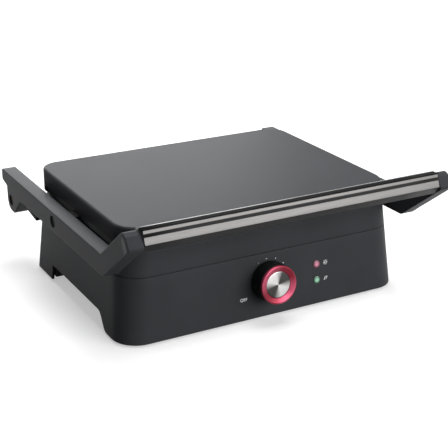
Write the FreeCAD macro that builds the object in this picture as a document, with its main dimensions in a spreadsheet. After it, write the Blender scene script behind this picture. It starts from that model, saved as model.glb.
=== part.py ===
import FreeCAD, Part
import math
import os
import re
import Sketcher
from FreeCAD import Placement, Rotation, Vector

# Contact grill, in millimetres. X runs to the right seen from the front, the front faces -Y,
# Z is up, and the origin is on the table under the middle of the grill.

# Driving sizes. Heights are above the table, and places along Y are distances from the middle.
sizes = {
    # Flared base
    "base_width": 332, "base_depth": 243, "base_height": 88, "base_lift": 2, "flare": 8,
    "front_corner": 28, "rear_corner": 8, "shell_wall": 2.8, "band_height": 20, "seam_gap": 0.4,
    "deck_thick": 5, "lip_depth": 8, "lip_wall": 2, "part_gap": 0.3, "overrun": 1,
    # Guard that stands on the rim along the straight front
    "guard_rise": 6, "guard_wall": 2.4,
    # Arch through the base from side to side, between a front and a rear foot
    "arch_top": 19, "front_foot": 46, "rear_foot": 49, "arch_slope": 15, "arch_bend": 12, "arch_rear_bend": 3,
    # Bottom cover, feet and base screws
    "cover_thick": 2, "cover_recess": 2, "cover_gap": 0.5,
    "foot_radius": 8, "foot_stem_radius": 3, "foot_stem": 4, "foot_side": 24, "foot_end": 24.5,
    "boss_side": 48, "boss_end": 24.5, "boss_radius": 5, "boss_stand": 2, "rib_thick": 3,
    "screw_radius": 1.5, "screw_play": 0.05, "screw_head_radius": 3.2, "screw_head": 1.8, "screw_length": 14,
    # Ribbed plates
    "plate_side": 19.4, "plate_end": 17.9, "plate_height": 13, "flange_thick": 2.5,
    "flange_reach": 6, "plate_floor": 5, "plate_rim": 2.6, "plate_corner": 12,
    "ridge_sink": 1, "ridge_foot": 7, "ridge_tip": 3.4, "ridge_pitch": 18, "ridge_end": 7,
    "drain_width": 18, "drain_depth": 8,
    # Heaters and reflectors
    "heater_radius": 3.3, "heater_gap": 1.2, "heater_side": 20, "heater_front": 14, "heater_bend": 30,
    "heater_end": 25, "reflector_side": 13, "reflector_play": 1.4, "reflector_wall": 0.8,
    "fuse_radius": 2, "fuse_length": 18, "fuse_x": 40,
    # Grease chute and drip tray
    "chute_wall": 1.6, "chute_gap": 2.2, "tray_side_gap": 18, "tray_wall": 2, "tray_front_gap": 2.5,
    "tray_height": 12.5, "tray_panel": 3.5, "tray_lip": 6, "tray_lip_half_width": 20, "tray_lip_thick": 2.5,
    # Thermostat and knob, square to the leaning front wall
    "knob_drop": 29.2, "knob_radius": 20.75, "knob_gap": 1.2, "knob_length": 17, "knob_hollow": 4,
    "knob_skirt": 2.6, "ring_thick": 3.4, "ring_inner": 13.9, "ring_edge": 0.35, "ring_round": 0.8,
    "cap_thick": 2, "cap_round": 0.5, "shaft_radius": 3, "shaft_gap": 0.05, "shaft_grip": 11,
    "bush_radius": 4.5, "bush_stand": 3.6, "nut_radius": 7.5, "nut_thick": 2.2,
    "thermostat_width": 34, "thermostat_tall": 28, "thermostat_deep": 18, "shaft_tail": 14,
    # Signal lamps
    "lamp_x": 58.4, "lamp_high": 5.2, "lamp_low": 12.3, "lens_radius": 4.2, "lens_gap": 0.1,
    "lens_stand": 0.9, "lens_tail": 4, "lens_round": 0.8, "neon_radius": 2.6, "neon_length": 6.3,
    "board_thick": 1.6, "board_half_width": 13, "board_over": 5, "post_radius": 2.5, "post_inset": 3.75,
    # Mains parts
    "gland_x": 75, "gland_drop": 28, "gland_flange": 9, "gland_flange_thick": 2, "gland_barrel": 6.5,
    "gland_bore": 3.8, "gland_tail": 3, "terminal_x": 60, "terminal_y": 40, "terminal_length": 44,
    "terminal_width": 18, "terminal_tall": 16, "terminal_screw": 2.4, "terminal_screw_deep": 5,
    "terminal_pitch": 14,
    # Rear hinge
    "pivot_reach": 29.5, "pivot_drop": 16.5, "lug_radius": 13, "hinge_pin": 4, "hinge_bush": 6,
    "hinge_recess": 2.5, "bracket_reach": 17, "bracket_play": 0.6, "bracket_boss": 11.5, "bracket_drop": 6,
    "bracket_tall": 11, "bracket_ear_up": 4, "bracket_flange": 31, "bracket_thick": 6,
    "bracket_screw_pitch": 18, "bracket_screw_inset": 7, "bracket_screw_bite": 4.5,
    # Side arms with the crank at the front
    "arm_thick": 16, "arm_rise": 14, "arm_drop": 8, "arm_tail": 28.5, "tail_thick": 13, "tail_step": 4,
    "lug_fore": 7.5, "lug_chamfer": 5, "lug_rise": 2.5, "lug_length": 32.5,
    "bend_top_in": 9.5, "bend_low_in": 4, "crank_out": 10, "crank_rise": 3,
    "cap_low_back": 0.5, "cap_low_under": 0.5, "cap_front_over": 2.5, "cap_front_under": 1.5,
    "cap_top_back": 0.5, "cap_top_under": 4.5, "cap_peak_back": 7.5, "cap_peak_under": 1,
    "arm_corner": 3, "arm_edge": 2, "bend_corner": 6, "channel_front_inset": 13.5, "channel_rear_inset": 14.5,
    "channel_margin": 3.5, "channel_depth": 11, "arm_cover": 2.5, "cover_play": 0.2, "channel_bridge": 14,
    "arm_screw_inset": 4,
    # Floating lid pivot
    "lid_pin_offset": 5.5, "lid_pin_rise": 3.4, "lid_pin": 3.5, "lid_bush": 5.2, "recess_depth": 4,
    "recess_radius": 6.5, "lid_pin_head": 5.6, "lid_pin_head_thick": 2, "pin_gap": 0.05,
    "ear_play": 1.3, "ear_thick": 5.2, "ear_half": 10, "ear_drop": 3, "ear_bridge": 3,
    # Lid
    "lid_gap": 5, "lid_side_gap": 10, "lid_setback": 13, "lid_overhang": 5, "ceiling_gap": 0.9,
    "lid_corner": 26, "lid_rear_corner": 21, "lid_edge": 2.6, "lid_wall": 2.5, "lid_rim": 3,
    "lid_spigot": 2.5, "lid_boss_gap": 0.9, "lid_boss_front_inset": 24.5, "lid_boss_rear_inset": 22.5,
    "lid_boss_radius": 4.2,
    # Handle bar and its steel strips
    "handle_out": 56.5, "handle_run": 5, "handle_thick": 15.5, "handle_rise": 55.5, "handle_face": 14,
    "handle_bevel_in": 7.5, "handle_bevel_drop": 9, "handle_back_tall": 17.5,
    "handle_edge": 1.5, "handle_back_round": 11, "core_radius": 5, "core_bore": 3.8, "core_fore": 9,
    "core_drop": 9, "core_seat": 9, "strip_end_gap": 1, "strip_thick": 0.7, "strip_upper": 3.2,
    "strip_lower": 7.4, "strip_drop": 1, "strip_space": 2.9,
}

# Heights and places that several pieces share, as formulas over the sizes and over each other
places = {
    "rim": "base_lift + base_height", "seam_height": "rim - band_height", "front": "base_depth / 2",
    "lean_angle": "atan(flare / base_height)",
    "arch_front_low": "front - front_foot", "arch_front_top": "arch_front_low - arch_slope",
    "arch_rear": "front - rear_foot",
    "cover_low": "base_lift + cover_recess",
    "foot_x": "base_width / 2 - foot_side", "foot_y": "front - foot_end",
    "boss_x": "base_width / 2 - boss_side", "boss_y": "front - boss_end",
    "boss_low": "cover_low + cover_thick + boss_stand", "boss_high": "seam_height - lip_depth",
    "plate_width": "base_width - 2 * plate_side", "plate_depth": "base_depth - 2 * plate_end",
    "plate_low": "rim - plate_height", "ridge_height": "plate_height - plate_floor - ridge_sink",
    "pan_rear": "plate_depth / 2 - flange_reach - plate_rim",
    "reflector_depth": "2 * heater_radius + heater_gap + reflector_wall",
    "reflector_half_width": "plate_width / 2 - flange_reach - plate_rim - reflector_side",
    "reflector_half_depth": "pan_rear - drain_depth - chute_wall - reflector_play",
    "heater_half_width": "reflector_half_width - heater_side",
    "heater_half_depth": "reflector_half_depth - heater_front",
    "tray_half_width": "boss_x - boss_radius - tray_side_gap",
    "tray_floor": "cover_low + cover_thick + part_gap",
    "tray_front": "arch_rear + cover_thick + tray_front_gap", "tray_top": "tray_floor + tray_height",
    "chute_low": "tray_top + chute_gap", "knob_height": "seam_height - knob_drop",
    "gland_height": "seam_height - gland_drop",
    "pivot_y": "front + pivot_reach", "pivot_height": "rim - pivot_drop",
    "arm_inner": "base_width / 2", "arm_outer": "arm_inner + arm_thick", "arm_top": "rim + arm_rise",
    "arm_low": "rim - arm_drop", "half_depth": "pivot_y + arm_tail", "step_top": "arm_top - tail_thick",
    "step_low": "step_top - tail_step", "lug_front": "pivot_y - lug_fore", "lug_root": "pivot_y - lug_length",
    "bracket_inner": "arm_inner - bracket_reach", "bracket_high": "seam_height - bracket_drop",
    "bracket_low": "bracket_high - bracket_tall", "bracket_screw_height": "(bracket_low + bracket_high) / 2",
    "bend_top_y": "front - bend_top_in", "bend_low_y": "front - bend_low_in",
    "crank_low_y": "front + crank_out", "crank_low": "rim + crank_rise",
    "handle_front_low": "front + handle_out", "handle_front_top": "handle_front_low - handle_run",
    "handle_back": "handle_front_top - handle_thick", "handle_bevel_y": "handle_front_low - handle_bevel_in",
    "handle_top": "rim + handle_rise", "handle_face_low": "handle_top - handle_face",
    "handle_bevel": "handle_face_low - handle_bevel_drop", "handle_back_low": "handle_top - handle_back_tall",
    "handle_lean": "atan(handle_run / handle_face)", "core_y": "handle_back + core_fore",
    "core_height": "handle_top - core_drop", "strip_length": "2 * (arm_inner - strip_end_gap)",
    "cap_low_y": "handle_bevel_y - cap_low_back", "cap_low": "handle_bevel - cap_low_under",
    "cap_front_y": "handle_front_low + cap_front_over", "cap_front": "handle_face_low - cap_front_under",
    "cap_top_y": "handle_front_top - cap_top_back", "cap_top": "handle_top - cap_top_under",
    "cap_peak_y": "handle_front_top - cap_peak_back", "cap_peak": "handle_top - cap_peak_under",
    "lid_rim_low": "rim + lid_gap", "lid_width": "2 * (arm_inner - lid_side_gap)",
    "lid_front": "front - lid_setback", "lid_rear": "front + lid_overhang",
    "lid_top": "lid_rim_low + plate_height + reflector_depth + ceiling_gap + lid_wall",
    "lid_pin_y": "(lid_rear - lid_front) / 2 + lid_pin_offset", "lid_pin_height": "rim + lid_pin_rise",
    "lid_bush_length": "arm_thick - recess_depth", "ear_inner": "arm_inner - ear_play - ear_thick",
    "ear_low": "rim - ear_drop",
    "lid_boss_x": "plate_width / 2 + part_gap + screw_head_radius + lid_boss_gap",
    "lid_boss_front": "lid_front - lid_boss_front_inset", "lid_boss_rear": "lid_rear - lid_boss_rear_inset",
    "channel_front": "lid_front - channel_front_inset", "channel_rear": "lid_rear - channel_rear_inset",
}

doc = FreeCAD.newDocument("contact_grill")
sheet = doc.addObject("Spreadsheet::Sheet", "Sizes")
for row, (name, number) in enumerate(sizes.items(), start=1):
    sheet.set(f"A{row}", name)
    sheet.set(f"B{row}", str(number))
    sheet.setAlias(f"B{row}", name)
doc.recompute()

word = re.compile(r"[a-z][a-z_]*")


def linked(formula):
    """Point each size's name in a formula at its cell, and write out each shared place."""
    def written(found):
        if found[0] in places:
            return f"({linked(places[found[0]])})"
        return f"Sizes.{found[0]}" if found[0] in sizes else found[0]
    return word.sub(written, formula)


def size(name):
    """The number that a size or a shared place has now."""
    return float(sheet.evalExpression(linked(name)))


def bind(thing, formulas):
    """Tie properties of an object to formulas over the sheet."""
    for place, formula in formulas.items():
        thing.setExpression(place, linked(formula))


def lean(height):
    """How far the flared walls have come in at a height above the table."""
    return f"(flare * ({height} - base_lift) / base_height)"


def new_body(label):
    made = doc.addObject("PartDesign::Body", label)
    made.Label = label
    return made


def plane(owner, role):
    return next(item for item in owner.Origin.OriginFeatures if item.Role == role)


def attach(thing, owner, role):
    thing.AttachmentSupport = [(plane(owner, role), "")]
    thing.MapMode = "FlatFace"


def new_sketch(owner, role, height):
    """A sketch on one of the body's own planes, moved along the plane's normal."""
    made = owner.newObject("Sketcher::SketchObject", "Outline")
    attach(made, owner, role)
    bind(made, {"AttachmentOffset.Base.z": height})
    return made


def fix_point(sketch, line, across, along):
    """Tie a line's first point to a place in the sketch."""
    for kind, formula in (("DistanceX", across), ("DistanceY", along)):
        number = sketch.addConstraint(Sketcher.Constraint(kind, line, 1, 1.0))
        sketch.setExpression(f"Constraints[{number}]", linked(formula))


def polygon(owner, role, height, points):
    """A closed straight-sided sketch through places written as formulas."""
    made = new_sketch(owner, role, height)
    count = len(points)
    reach = size("half_depth")
    turns = [2 * math.pi * step / count for step in range(count + 1)]
    rough = [Vector(reach * math.cos(turn), reach * math.sin(turn), 0) for turn in turns]
    for step in range(count):
        made.addGeometry(Part.LineSegment(rough[step], rough[step + 1]), False)
    for step, (across, along) in enumerate(points):
        made.addConstraint(Sketcher.Constraint("Coincident", step, 2, (step + 1) % count, 1))
        fix_point(made, step, across, along)
    return made


def rounded(owner, height, half_width, front, rear, front_corner, rear_corner):
    """A level rectangle with round corners, even about X = 0."""
    made = new_sketch(owner, "XY_Plane", height)
    reach = size("half_depth")
    half = reach / 2
    corners = [(half, -half), (half, half), (-half, half), (-half, -half)]
    ends = [((-half, -reach), (half, -reach)), ((reach, -half), (reach, half)),
            ((half, reach), (-half, reach)), ((-reach, half), (-reach, -half))]
    for first, last in ends:
        made.addGeometry(Part.LineSegment(Vector(*first, 0), Vector(*last, 0)), False)
    for step, (across, along) in enumerate(corners):
        circle = Part.Circle(Vector(across, along, 0), Vector(0, 0, 1), half)
        start = (step - 1) * math.pi / 2
        made.addGeometry(Part.ArcOfCircle(circle, start, start + math.pi / 2), False)
    count = len(ends)
    for step in range(count):
        arc = count + step
        made.addConstraint(Sketcher.Constraint("Tangent", step, 2, arc, 1))
        made.addConstraint(Sketcher.Constraint("Tangent", arc, 2, (step + 1) % count, 1))
        made.addConstraint(Sketcher.Constraint("Vertical" if step % 2 else "Horizontal", step))
    front_arc, rear_arc = count, count + 1
    made.addConstraint(Sketcher.Constraint("Equal", front_arc, count + 3))
    made.addConstraint(Sketcher.Constraint("Equal", rear_arc, count + 2))
    for arc, formula in ((front_arc, front_corner), (rear_arc, rear_corner)):
        number = made.addConstraint(Sketcher.Constraint("Radius", arc, half))
        made.setExpression(f"Constraints[{number}]", linked(formula))
    sides = [("DistanceY", 0, f"-({front})"), ("DistanceX", 1, half_width),
             ("DistanceY", 2, rear), ("DistanceX", 3, f"-({half_width})")]
    for kind, line, formula in sides:
        number = made.addConstraint(Sketcher.Constraint(kind, line, 1, reach))
        made.setExpression(f"Constraints[{number}]", linked(formula))
    return made


def pad(owner, profile, length, cut=False, even=False):
    """Extrude a sketch along its normal, or to both sides alike. A cut goes the same way."""
    made = owner.newObject("PartDesign::Pocket" if cut else "PartDesign::Pad", "Extrusion")
    made.Profile = profile
    bind(made, {"Length": length})
    made.Midplane = even
    made.Reversed = cut and not even
    return made


def flared(owner, low, high, inset, cut=False):
    """A solid between two heights with the base's flared walls, moved in by an inset. Each corner
    keeps its radius as the walls lean in."""
    levels = []
    for height in (low, high):
        come_in = f"{lean(height)} + {inset}"
        levels.append(rounded(owner, height, f"base_width / 2 - ({come_in})",
                              f"front - ({come_in})", f"front - ({come_in})",
                              f"front_corner - ({inset})", f"rear_corner - ({inset})"))
    made = owner.newObject("PartDesign::SubtractiveLoft" if cut else "PartDesign::AdditiveLoft", "Flared")
    made.Profile = levels[0]
    made.Sections = levels[1:]
    made.Ruled = True
    made.Refine = False
    return made


def block(owner, low, high, cut=False):
    """A box between two corners."""
    made = owner.newObject("PartDesign::SubtractiveBox" if cut else "PartDesign::AdditiveBox", "Block")
    attach(made, owner, "XY_Plane")
    made.Refine = False
    bind(made, {
        "Length": f"({high[0]}) - ({low[0]})", "Width": f"({high[1]}) - ({low[1]})",
        "Height": f"({high[2]}) - ({low[2]})", "AttachmentOffset.Base.x": low[0],
        "AttachmentOffset.Base.y": low[1], "AttachmentOffset.Base.z": low[2],
    })
    return made


# Turns that take a rod from +Z to its own way: an axis and an angle
ways = {
    "up": (Vector(1, 0, 0), "0"),
    "across": (Vector(0, 1, 0), "90"),
    "back": (Vector(1, 0, 0), "-90"),
    "front_wall": (Vector(1, 0, 0), "90 deg - lean_angle"),
    "rear_wall": (Vector(1, 0, 0), "lean_angle - 90 deg"),
}


def turn(thing, place, way, foot):
    """Stand a thing at a foot point, pointing one of the named ways."""
    axis, angle = ways[way]
    setattr(thing, place, Placement(Vector(0, 0, 0), Rotation(axis, 1)))
    bind(thing, {f"{place}.Base.x": foot[0], f"{place}.Base.y": foot[1], f"{place}.Base.z": foot[2],
                 f"{place}.Rotation.Angle": angle})


def rod(owner, foot, way, radius, length, cut=False):
    """A cylinder from a foot point."""
    kind = "PartDesign::SubtractiveCylinder" if cut else "PartDesign::AdditiveCylinder"
    made = owner.newObject(kind, "Rod")
    attach(made, owner, "XY_Plane")
    turn(made, "AttachmentOffset", way, foot)
    made.Refine = False
    bind(made, {"Radius": radius, "Height": length})
    return made


def hole(foot, way, radius, length):
    """The round tool of a hole."""
    made = doc.addObject("Part::Cylinder", "Hole")
    turn(made, "Placement", way, foot)
    bind(made, {"Radius": radius, "Height": length})
    return made


def drilled(label, stock, holes):
    """A piece with all its round holes taken out in one cut."""
    tools = group("Holes", holes)
    made = doc.addObject("Part::Cut", label)
    stock.Label = f"{label}_blank"
    made.Label = label
    made.Base = stock
    made.Tool = tools
    return made


def round_edges(owner, radius, chosen):
    """Round the edges of the body so far that a test picks."""
    doc.recompute()
    base = owner.Tip
    names = [f"Edge{number}" for number, edge in enumerate(base.Shape.Edges, start=1) if chosen(edge)]
    made = owner.newObject("PartDesign::Fillet", "Round")
    made.Base = (base, names)
    bind(made, {"Radius": radius})
    return made


def runs_along(edge, axis):
    """Whether a straight edge lies along an axis."""
    if not isinstance(edge.Curve, Part.Line):
        return False
    return abs(abs(edge.Curve.Direction.dot(axis)) - 1) < 1e-6


def at_corner(spots):
    """A test for edges along X through places given as (Y, Z)."""
    def chosen(edge):
        if not runs_along(edge, Vector(1, 0, 0)):
            return False
        middle = edge.CenterOfMass
        return any(math.hypot(middle.y - y, middle.z - z) < size("part_gap") for y, z in spots)
    return chosen


def mirrored(label, source):
    """The same piece on the other side."""
    made = doc.addObject("Part::Mirroring", label)
    made.Label = label
    made.Source = source
    made.Normal = Vector(1, 0, 0)
    return made


def group(label, members):
    """Identical pieces that share one node."""
    made = doc.addObject("Part::Compound", label)
    made.Label = label
    made.Links = members
    return made


def front_point(across, along="0", depth="0"):
    """A place on the front wall, measured up the wall from the knob, or at a depth behind it."""
    height = f"(knob_height + ({along}) * cos(lean_angle))"
    return (across, f"{lean(height)} - front + ({depth}) * cos(lean_angle)",
            f"{height} - ({depth}) * sin(lean_angle)")


def rear_wall(height, inset="0"):
    """Y of the base's rear wall at a height."""
    return f"(front - {lean(height)} - ({inset}))"


def rear_point(across, height, depth="0"):
    """A place on the rear wall, or at a depth behind it."""
    return (across, f"{rear_wall(height)} - ({depth}) * cos(lean_angle)",
            f"{height} - ({depth}) * sin(lean_angle)")


def on_front_wall(piece, across="0", along="0"):
    """Stand a piece on the outside of the front wall: its own Z is the wall's normal."""
    turn(piece, "Placement", "front_wall", front_point(across, along))
    return piece


def screw(label, foot, way, length):
    """A pan-head screw: the head starts at the foot, and the shank follows it."""
    made = new_body(label)
    rod(made, foot, way, "screw_head_radius", "screw_head")
    rod(made, foot, way, "screw_radius", f"screw_head + {length}")
    return made


# Base: housing, frame, bottom cover, feet


def base_housing():
    made = new_body("base_housing")
    holes = []
    flared(made, "base_lift", "seam_height", "0")
    flared(made, "base_lift", "seam_height", "shell_wall", cut=True)
    arch = polygon(made, "YZ_Plane", "0", [
        ("-arch_front_low", "base_lift"), ("-arch_front_top", "arch_top"), ("arch_rear", "arch_top"),
        ("arch_rear", "base_lift"), ("arch_rear", "base_lift - overrun"),
        ("-arch_front_low", "base_lift - overrun")])
    pad(made, arch, "base_width + overrun", cut=True, even=True)
    front_low, front_top, rear = size("arch_front_low"), size("arch_front_top"), size("arch_rear")
    low, top = size("base_lift"), size("arch_top")
    round_edges(made, "arch_bend", at_corner([(-front_low, low), (-front_top, top)]))
    round_edges(made, "arch_rear_bend", at_corner([(rear, top)]))
    for side in ("", "-"):
        for end in ("", "-"):
            spot = (f"{side}boss_x", f"{end}boss_y")
            wall = f"{end}(front - {lean('boss_high')} - shell_wall / 2)"
            ends = (spot[1], wall) if not end else (wall, spot[1])
            block(made, (f"{spot[0]} - rib_thick / 2", ends[0], "boss_low"),
                  (f"{spot[0]} + rib_thick / 2", ends[1], "boss_high"))
            rod(made, (*spot, "boss_low"), "up", "boss_radius", "boss_high - boss_low")
            holes.append(hole((*spot, "boss_low"), "up", "screw_radius + screw_play", "screw_length"))
    block(made, ("-tray_half_width - part_gap", rear_wall("arch_top", "shell_wall + overrun"),
                 "tray_floor - part_gap"),
          ("tray_half_width + part_gap", "front + overrun",
           "tray_top + part_gap"), cut=True)
    depth, length = "2 * shell_wall", "4 * shell_wall"
    holes.append(hole(front_point("0", "0", depth), "front_wall", "bush_radius + lens_gap", length))
    for along in ("lamp_high", "-lamp_low"):
        lamp = front_point("lamp_x", along, depth)
        holes.append(hole(lamp, "front_wall", "lens_radius + lens_gap", length))
    gland = rear_point("gland_x", "gland_height", depth)
    holes.append(hole(gland, "rear_wall", "gland_barrel + lens_gap", length))
    for side in ("", "-"):
        for place in bracket_screw_places():
            foot = (f"{side}({place})", rear_wall("bracket_screw_height", depth), "bracket_screw_height")
            holes.append(hole(foot, "back", "screw_radius + lens_gap", length))
    return drilled("base_housing", made, holes)


def base_frame():
    made = new_body("base_frame")
    low = "(seam_height + seam_gap)"
    flared(made, low, "rim", "0")
    flared(made, low, "(rim - deck_thick)", "shell_wall", cut=True)
    lip_low = "(seam_height - lip_depth)"
    flared(made, lip_low, low, "shell_wall + part_gap")
    flared(made, lip_low, low, "shell_wall + part_gap + lip_wall", cut=True)
    flared(made, low, f"({low} + lip_wall)", "shell_wall - part_gap")
    flared(made, low, f"({low} + lip_wall)", "shell_wall + part_gap + lip_wall", cut=True)
    opening = rounded(made, "rim + overrun", "plate_width / 2 + part_gap", "plate_depth / 2 + part_gap",
                      "plate_depth / 2 + part_gap", "plate_corner", "plate_corner")
    pad(made, opening, "flange_thick + overrun", cut=True).Reversed = False
    ledge = rounded(made, "rim + overrun", "plate_width / 2 - flange_reach + part_gap",
                    "plate_depth / 2 - flange_reach + part_gap",
                    "plate_depth / 2 - flange_reach + part_gap",
                    "plate_corner - flange_reach", "plate_corner - flange_reach")
    pad(made, ledge, "deck_thick + 2 * overrun", cut=True).Reversed = False
    return made


def front_guard():
    """A bar on the rim that carries the front wall on upwards, between the round corners."""
    made = new_body("front_guard")
    top = "(rim + guard_rise)"
    foot_y, top_y = (f"{lean(height)} - front" for height in ("rim", top))
    profile = polygon(made, "YZ_Plane", "0", [
        (foot_y, "rim"), (f"{foot_y} + guard_wall", "rim"), (f"{top_y} + guard_wall", top), (top_y, top)])
    pad(made, profile, f"base_width - 2 * ({lean(top)} + front_corner)", even=True)
    return made


def bottom_cover():
    made = new_body("bottom_cover")
    top = "cover_low + cover_thick"
    wall_end = f"(front - shell_wall - {lean('cover_low')} - cover_gap)"
    profile = polygon(made, "YZ_Plane", "0", [
        (f"-{wall_end}", "cover_low"), ("-arch_front_low", "cover_low"), ("-arch_front_top", "arch_top"),
        ("arch_rear", "arch_top"), ("arch_rear", "cover_low"), (wall_end, "cover_low"),
        (wall_end, top), ("arch_rear + cover_thick", top),
        ("arch_rear + cover_thick", "arch_top + cover_thick"),
        ("-arch_front_top - cover_thick / 2", "arch_top + cover_thick"),
        ("-arch_front_low - cover_thick / 2", top), (f"-{wall_end}", top)])
    half = f"(base_width / 2 - shell_wall - {lean('(arch_top + cover_thick)')} - cover_gap)"
    pad(made, profile, f"2 * {half}", even=True)
    upright = Vector(0, 0, 1)
    round_edges(made, "front_corner - shell_wall", lambda edge: runs_along(edge, upright)
                and edge.CenterOfMass.y < -size("arch_front_low"))
    round_edges(made, "rear_corner - shell_wall", lambda edge: runs_along(edge, upright)
                and edge.CenterOfMass.y > size("foot_y"))
    holes = []
    for side in ("", "-"):
        for end in ("", "-"):
            for spot, radius in (("foot", "foot_stem_radius"), ("boss", "screw_radius + screw_play")):
                foot = (f"{side}{spot}_x", f"{end}{spot}_y", "cover_low - overrun")
                holes.append(hole(foot, "up", radius, "cover_thick + 2 * overrun"))
    return drilled("bottom_cover", made, holes)


def rubber_feet():
    feet = []
    for side in ("", "-"):
        for end in ("", "-"):
            foot = new_body("foot")
            spot = (f"{side}foot_x", f"{end}foot_y", "0")
            rod(foot, spot, "up", "foot_radius", "cover_low")
            rod(foot, spot, "up", "foot_stem_radius", "cover_low + foot_stem")
            feet.append(foot)
    return group("rubber_feet", feet)


def base_screws():
    spots = [(f"{side}boss_x", f"{end}boss_y", "cover_low - screw_head")
             for side in ("", "-") for end in ("", "-")]
    length = "boss_low + screw_length - cover_low - overrun"
    return group("base_screws", [screw("base_screw", spot, "up", length) for spot in spots])


# Cooking plates, heaters and reflectors


def plate_blank():
    """The ribbed plate with its cooking side up, its flange level with the base's rim."""
    made = new_body("plate_blank")
    flange_low = "(rim - flange_thick)"
    half = ("plate_width / 2", "plate_depth / 2")
    inner = [f"({side} - flange_reach)" for side in half]
    flange = rounded(made, flange_low, half[0], half[1], half[1], "plate_corner", "plate_corner")
    pad(made, flange, "flange_thick")
    inner_corner = "plate_corner - flange_reach"
    pan = rounded(made, "plate_low", inner[0], inner[1], inner[1], inner_corner, inner_corner)
    pad(made, pan, "plate_height - flange_thick")
    floor = "(plate_low + plate_floor)"
    hollow = [f"({side} - plate_rim)" for side in inner]
    corner = "plate_corner - flange_reach - plate_rim"
    well = rounded(made, floor, hollow[0], hollow[1], hollow[1], corner, corner)
    pad(made, well, "plate_height", cut=True)
    top = f"({floor} + ridge_height)"
    count = 2 * int((size("plate_width") / 2 - size("flange_reach") - size("plate_rim")
                     - size("ridge_end")) // size("ridge_pitch")) + 1
    first = f"({(count - 1) // 2} * ridge_pitch)"
    end = f"({hollow[1]} - ridge_end)"
    ridge = polygon(made, "XZ_Plane", "0", [
        (f"-{first} - ridge_foot / 2", f"{floor} - overrun"),
        (f"-{first} + ridge_foot / 2", f"{floor} - overrun"),
        (f"-{first} + ridge_foot / 2", floor), (f"-{first} + ridge_tip / 2", top),
        (f"-{first} - ridge_tip / 2", top), (f"-{first} - ridge_foot / 2", floor)])
    bar = pad(made, ridge, f"2 * {end}", even=True)
    doc.recompute()
    row = made.newObject("PartDesign::LinearPattern", "Ridges")
    row.Originals = [bar]
    row.Direction = (ridge, ["H_Axis"])
    row.Occurrences = count
    bind(row, {"Length": f"2 * {first}"})
    made.Tip = row
    return made


def lower_plate(blank):
    """The plate in the base has a drain slot at the rear."""
    slot = doc.addObject("Part::Box", "drain_slot")
    bind(slot, {"Length": "drain_width", "Width": "drain_depth", "Height": "plate_floor + 2 * overrun",
                "Placement.Base.x": "-drain_width / 2", "Placement.Base.y": "pan_rear - drain_depth",
                "Placement.Base.z": "plate_low - overrun"})
    made = doc.addObject("Part::Cut", "lower_plate")
    made.Label = "lower_plate"
    made.Base = blank
    made.Tool = slot
    return made


def faced(label, source):
    """A piece of the base turned over for the lid, about the middle of the gap between the plates."""
    made = doc.addObject("Part::Mirroring", label)
    made.Label = label
    made.Source = source
    made.Normal = Vector(0, 0, 1)
    bind(made, {"Base.z": "rim + lid_gap / 2"})
    return made


def lower_heater():
    """A tube loop under the plate, open at the rear between its two ends."""
    made = new_body("lower_heater")
    height = "(plate_low - heater_radius)"
    path = new_sketch(made, "XY_Plane", height)
    wide, deep = size("heater_half_width"), size("heater_half_depth")
    bend, end = size("heater_bend"), size("heater_end")
    spots = [(-end, deep), (bend - wide, deep), (-wide, deep - bend), (-wide, bend - deep),
             (bend - wide, -deep), (wide - bend, -deep), (wide, bend - deep), (wide, deep - bend),
             (wide - bend, deep), (end, deep)]
    for step in range(0, len(spots), 2):
        path.addGeometry(Part.LineSegment(Vector(*spots[step], 0), Vector(*spots[step + 1], 0)), False)
    centres = [(bend - wide, deep - bend), (bend - wide, bend - deep), (wide - bend, bend - deep),
               (wide - bend, deep - bend)]
    for step, (across, along) in enumerate(centres):
        circle = Part.Circle(Vector(across, along, 0), Vector(0, 0, 1), bend)
        start = (step + 1) * math.pi / 2
        path.addGeometry(Part.ArcOfCircle(circle, start, start + math.pi / 2), False)
    lines = len(spots) // 2
    for step in range(len(centres)):
        arc = lines + step
        path.addConstraint(Sketcher.Constraint("Tangent", step, 2, arc, 1))
        path.addConstraint(Sketcher.Constraint("Tangent", arc, 2, step + 1, 1))
    for step in range(lines):
        path.addConstraint(Sketcher.Constraint("Vertical" if step % 2 else "Horizontal", step))
    for step in range(1, len(centres)):
        path.addConstraint(Sketcher.Constraint("Equal", lines, lines + step))
    last = lines - 1
    ties = [("Radius", (lines,), "heater_bend"),
            ("DistanceX", (0, 1), "-heater_end"), ("DistanceX", (last, 2), "heater_end"),
            ("DistanceY", (0, 1), "heater_half_depth"), ("DistanceY", (2, 1), "-heater_half_depth"),
            ("DistanceX", (1, 1), "-heater_half_width"), ("DistanceX", (3, 1), "heater_half_width"),
            ("DistanceY", (last, 2), "heater_half_depth")]
    for kind, place, formula in ties:
        number = path.addConstraint(Sketcher.Constraint(kind, *place, bend))
        path.setExpression(f"Constraints[{number}]", linked(formula))
    section = made.newObject("Sketcher::SketchObject", "Section")
    attach(section, made, "YZ_Plane")
    bind(section, {"AttachmentOffset.Base.x": "heater_half_depth", "AttachmentOffset.Base.y": height,
                   "AttachmentOffset.Base.z": "-heater_end"})
    section.addGeometry(Part.Circle(Vector(0, 0, 0), Vector(0, 0, 1), size("heater_radius")), False)
    section.addConstraint(Sketcher.Constraint("Coincident", 0, 3, -1, 1))
    number = section.addConstraint(Sketcher.Constraint("Radius", 0, size("heater_radius")))
    section.setExpression(f"Constraints[{number}]", linked("heater_radius"))
    pipe = made.newObject("PartDesign::AdditivePipe", "Loop")
    pipe.Profile = section
    pipe.Spine = path
    return made


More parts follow.
